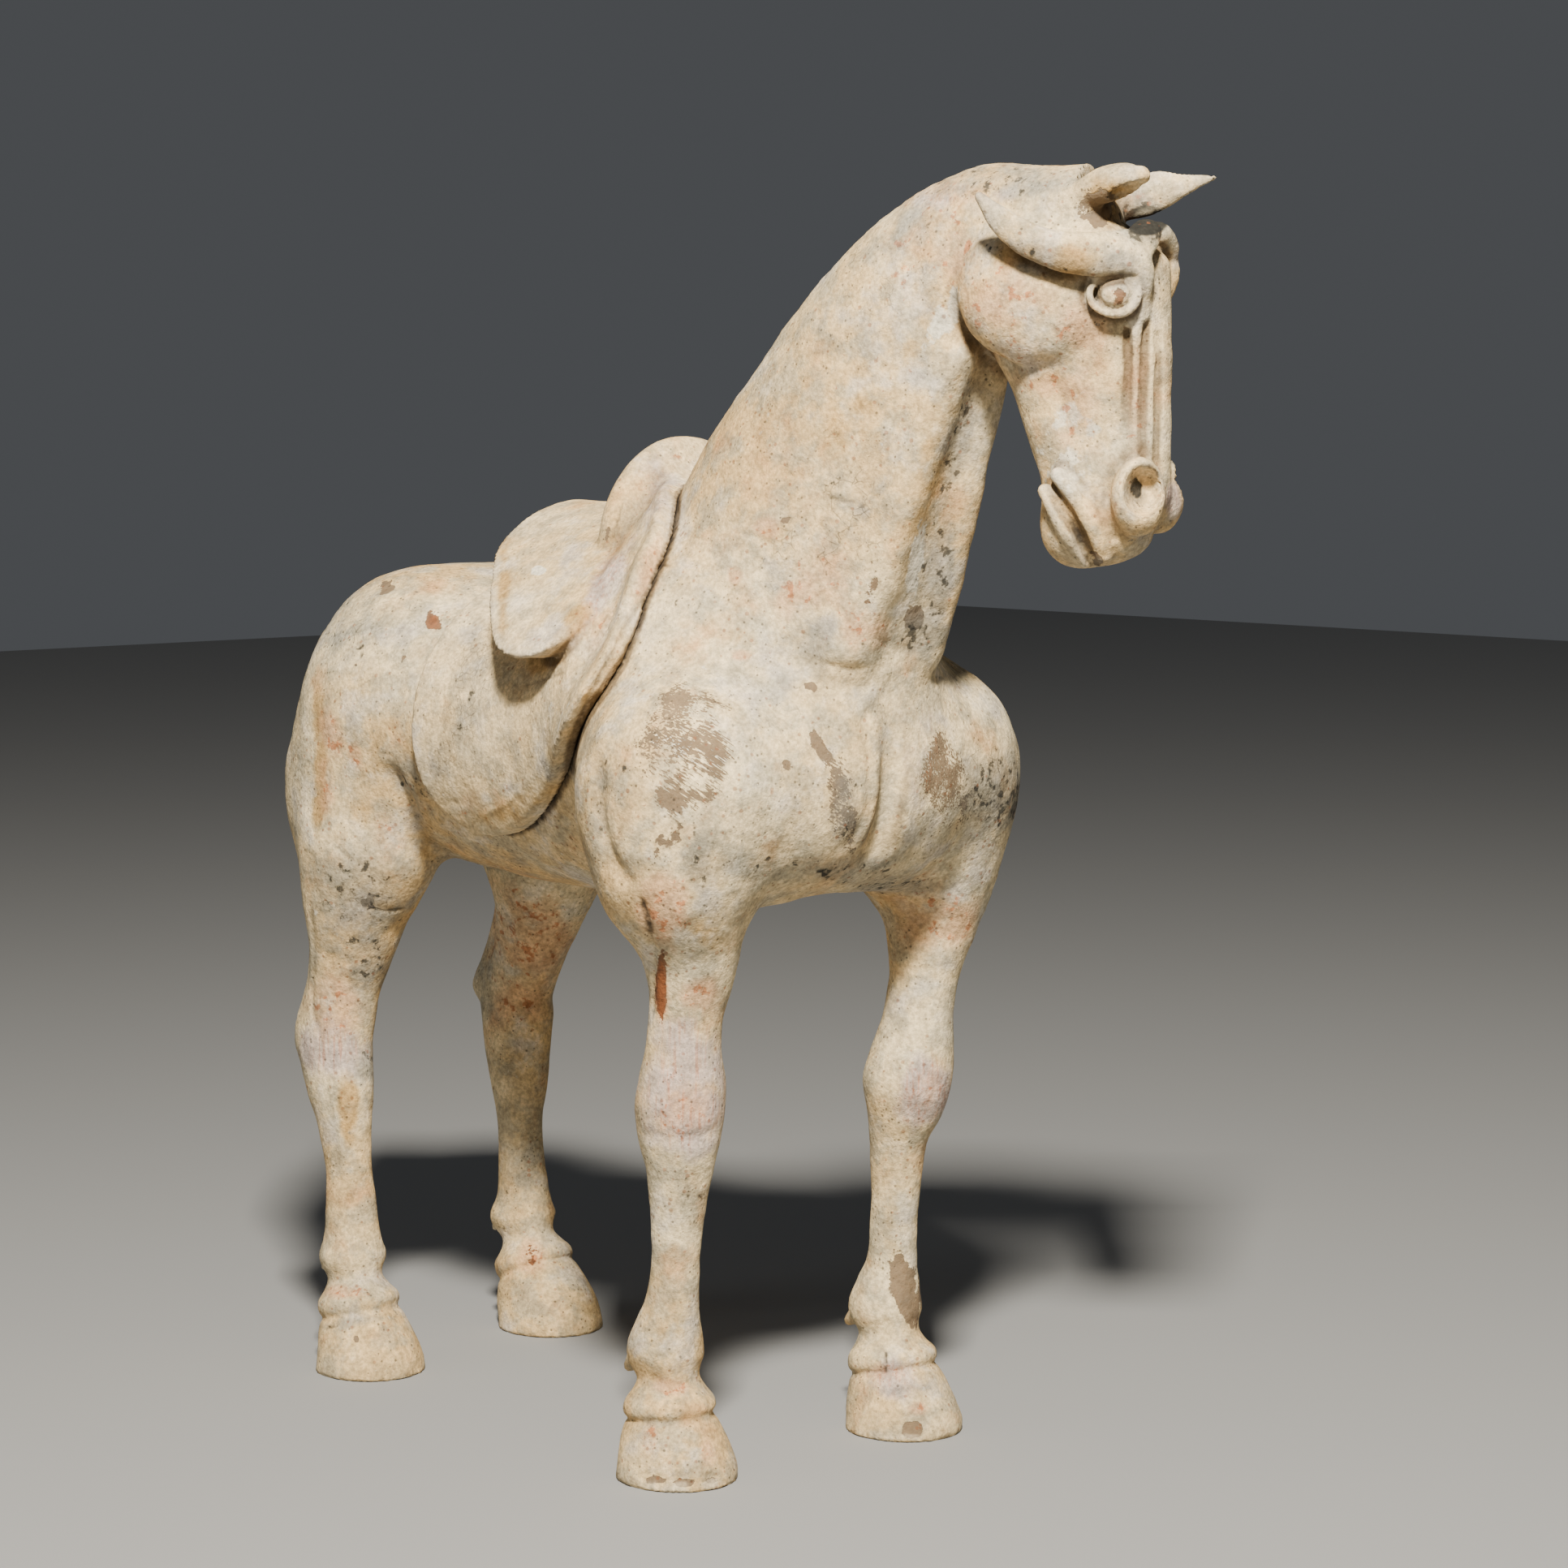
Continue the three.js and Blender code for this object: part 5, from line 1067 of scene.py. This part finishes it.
def plainMaterial(name, colour, roughness):
    material = bpy.data.materials.new(name)
    material.use_nodes = True
    shader = material.node_tree.nodes['Principled BSDF']
    shader.inputs['Base Color'].default_value = (*colour, 1)
    shader.inputs['Roughness'].default_value = roughness
    return material


handWork = ((1.5, 46, 11), (0.75, 19, 12), (0.28, 8, 13))        # height and cell in millimetres, seed


def shaped(points, tree, marks, normals, uneven):   # tool marks, dents and the unevenness of worked clay
    rise = toolMarks(points, tree, marks['lines'])[0]
    for x, y, radius, depth in marks['dents']:
        hit = seenAt(tree, x, y)
        if hit is not None:
            gap = np.linalg.norm(points - hit, axis=1) / radius
            rise -= depth * np.clip(1.3 - gap * gap, 0, 1)
    for height, cell, seed in handWork:
        rise += uneven * height * clayNoise(points, cell, seed)
    return points + normals * rise[:, None]


def masksFor(piece, tree, marks, both, own, other):
    points = coordinates(piece)
    normals = normalsOf(points, triangleList(piece))
    jointShade = 0.7 * np.clip(1 - (other(points) - saddle['clearance']) / 2, 0, 1)      # painted shade along the joint between saddle and horse
    addMask(piece, 'cracksAndCreaseShade', np.maximum(jointShade, toolMarks(points, tree, marks['lines'])[1]))
    for name in ('bareClay', 'redEarth', 'ochre', 'sootAndShade', 'lilac', 'brushed', 'crackled', 'paleChalk'):
        addMask(piece, name, patches(points, tree, marks[name]))
    addMask(piece, 'sunken', sunkenness(points, normals, both))
    addMask(piece, 'exposed', exposure(points, normals, own))


def together(p):
    return np.minimum(horseField(p), saddleField(p))


horseMesh = {
    'cell': 3.0,
    'middleCell': 2.2,              # across the head, and over the hooves
    'fineCell': 1.8,                # along and over the head
    'triangles': 190000,
    'uneven': 1,
    'marked': 6}                    # marks fade out over this height above the floor
rough = 1.0
plain, middle, fine = (rough * horseMesh[name] for name in ('cell', 'middleCell', 'fineCell'))
horseLines = [steppedAxis(-330, 480, plain, [(fine, 300, 470)]),
              steppedAxis(-190, 190, plain, [(middle, -30, 115)]),
              steppedAxis(-20, 830, plain, [(fine, 560, 830), (middle, 0, 60)])]
points, faces = traceSurface(horseField, horseLines)
points = settle(horseField, points)
horseTree = surfaceTree(points, faces)
raised = shaped(points, horseTree, horseMarks, normalsOf(points, faces), horseMesh['uneven'])
marked = np.clip(points[:, 2] / horseMesh['marked'], 0, 1)
points = points + (raised - points) * marked[:, None]
horse = thinned(makeMesh('horseClay', points, faces), horseMesh['triangles'])
points = coordinates(horse)
points[:, 2] = np.maximum(points[:, 2], 0)
setCoordinates(horse, points)
note('horse thinned')

saddleBox = ((-80, 160), (-170, 170), (370, 660))
saddleLines = [steppedAxis(low, high, saddle['cell'] * rough, []) for low, high in saddleBox]
points, faces = traceSurface(saddleField, saddleLines)
saddleTree = surfaceTree(points, faces)
raised = shaped(points, saddleTree, saddleMarks, normalsOf(points, faces), saddle['uneven'])
marked = np.clip((horseField(points) - saddle['marked']) / saddle['marked'], 0, 1)
points = points + (raised - points) * marked[:, None]
saddlePiece = thinned(makeMesh('saddleClay', points, faces), saddle['triangles'])
note('saddle thinned')
masksFor(horse, horseTree, horseMarks, together, horseField, saddleField)
note('horse marked')
masksFor(saddlePiece, saddleTree, saddleMarks, together, saddleField, horseField)
note('saddle marked')

for piece, node, slot, look in ((horse, 'horse', 'body_pottery', paintedLook),
                                (saddlePiece, 'saddle', 'saddle_pottery', saddleLook)):
    piece.data.materials.clear()
    piece.data.materials.append(potteryMaterial(node + 'Slip', look))
    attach(piece, 'root')
    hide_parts(node)

# Stage, lights and camera
bpy.ops.mesh.primitive_plane_add(size=14, location=(0, 0, 0))
floor = bpy.context.object
floor.name = 'floor'
floor.data.materials.append(plainMaterial('paleFloor', (0.27, 0.27, 0.265), 0.9))
floor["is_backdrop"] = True

world = bpy.data.worlds.new('softRoom')
bpy.context.scene.world = world
world.use_nodes = True
background = world.node_tree.nodes['Background']
background.inputs['Color'].default_value = (0.80, 0.84, 0.90, 1)
background.inputs['Strength'].default_value = 0.09


def softLight(name, place, towards, size, power, colour):
    data = bpy.data.lights.new(name, 'AREA')
    data.shape = 'SQUARE'
    data.size = size
    data.energy = power
    data.color = colour
    lamp = bpy.data.objects.new(name, data)
    lamp.location = place
    lamp.rotation_euler = (Vector(towards) - Vector(place)).to_track_quat('-Z', 'Y').to_euler()
    bpy.context.scene.collection.objects.link(lamp)


softLight('keyLight', (1.55, -1.3, 2.35), (0.1, 0, 0.45), 0.3, 270, (1.0, 0.945, 0.85))
softLight('fillLight', (-1.6, -3.4, 1.5), (0, 0, 0.4), 1.6, 12, (0.94, 0.97, 1.0))

camera = bpy.data.objects.new('camera', bpy.data.cameras.new('camera'))
camera.data.lens = lensLength
camera.data.sensor_width = sensorWidth
camera.data.sensor_fit = 'HORIZONTAL'
camera.location = cameraPlace
camera.rotation_euler = turn.to_euler()
bpy.context.scene.collection.objects.link(camera)
bpy.context.scene.camera = camera
note('stage set')

[[list(corner) for corner in box] for box in (cadBox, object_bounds())]
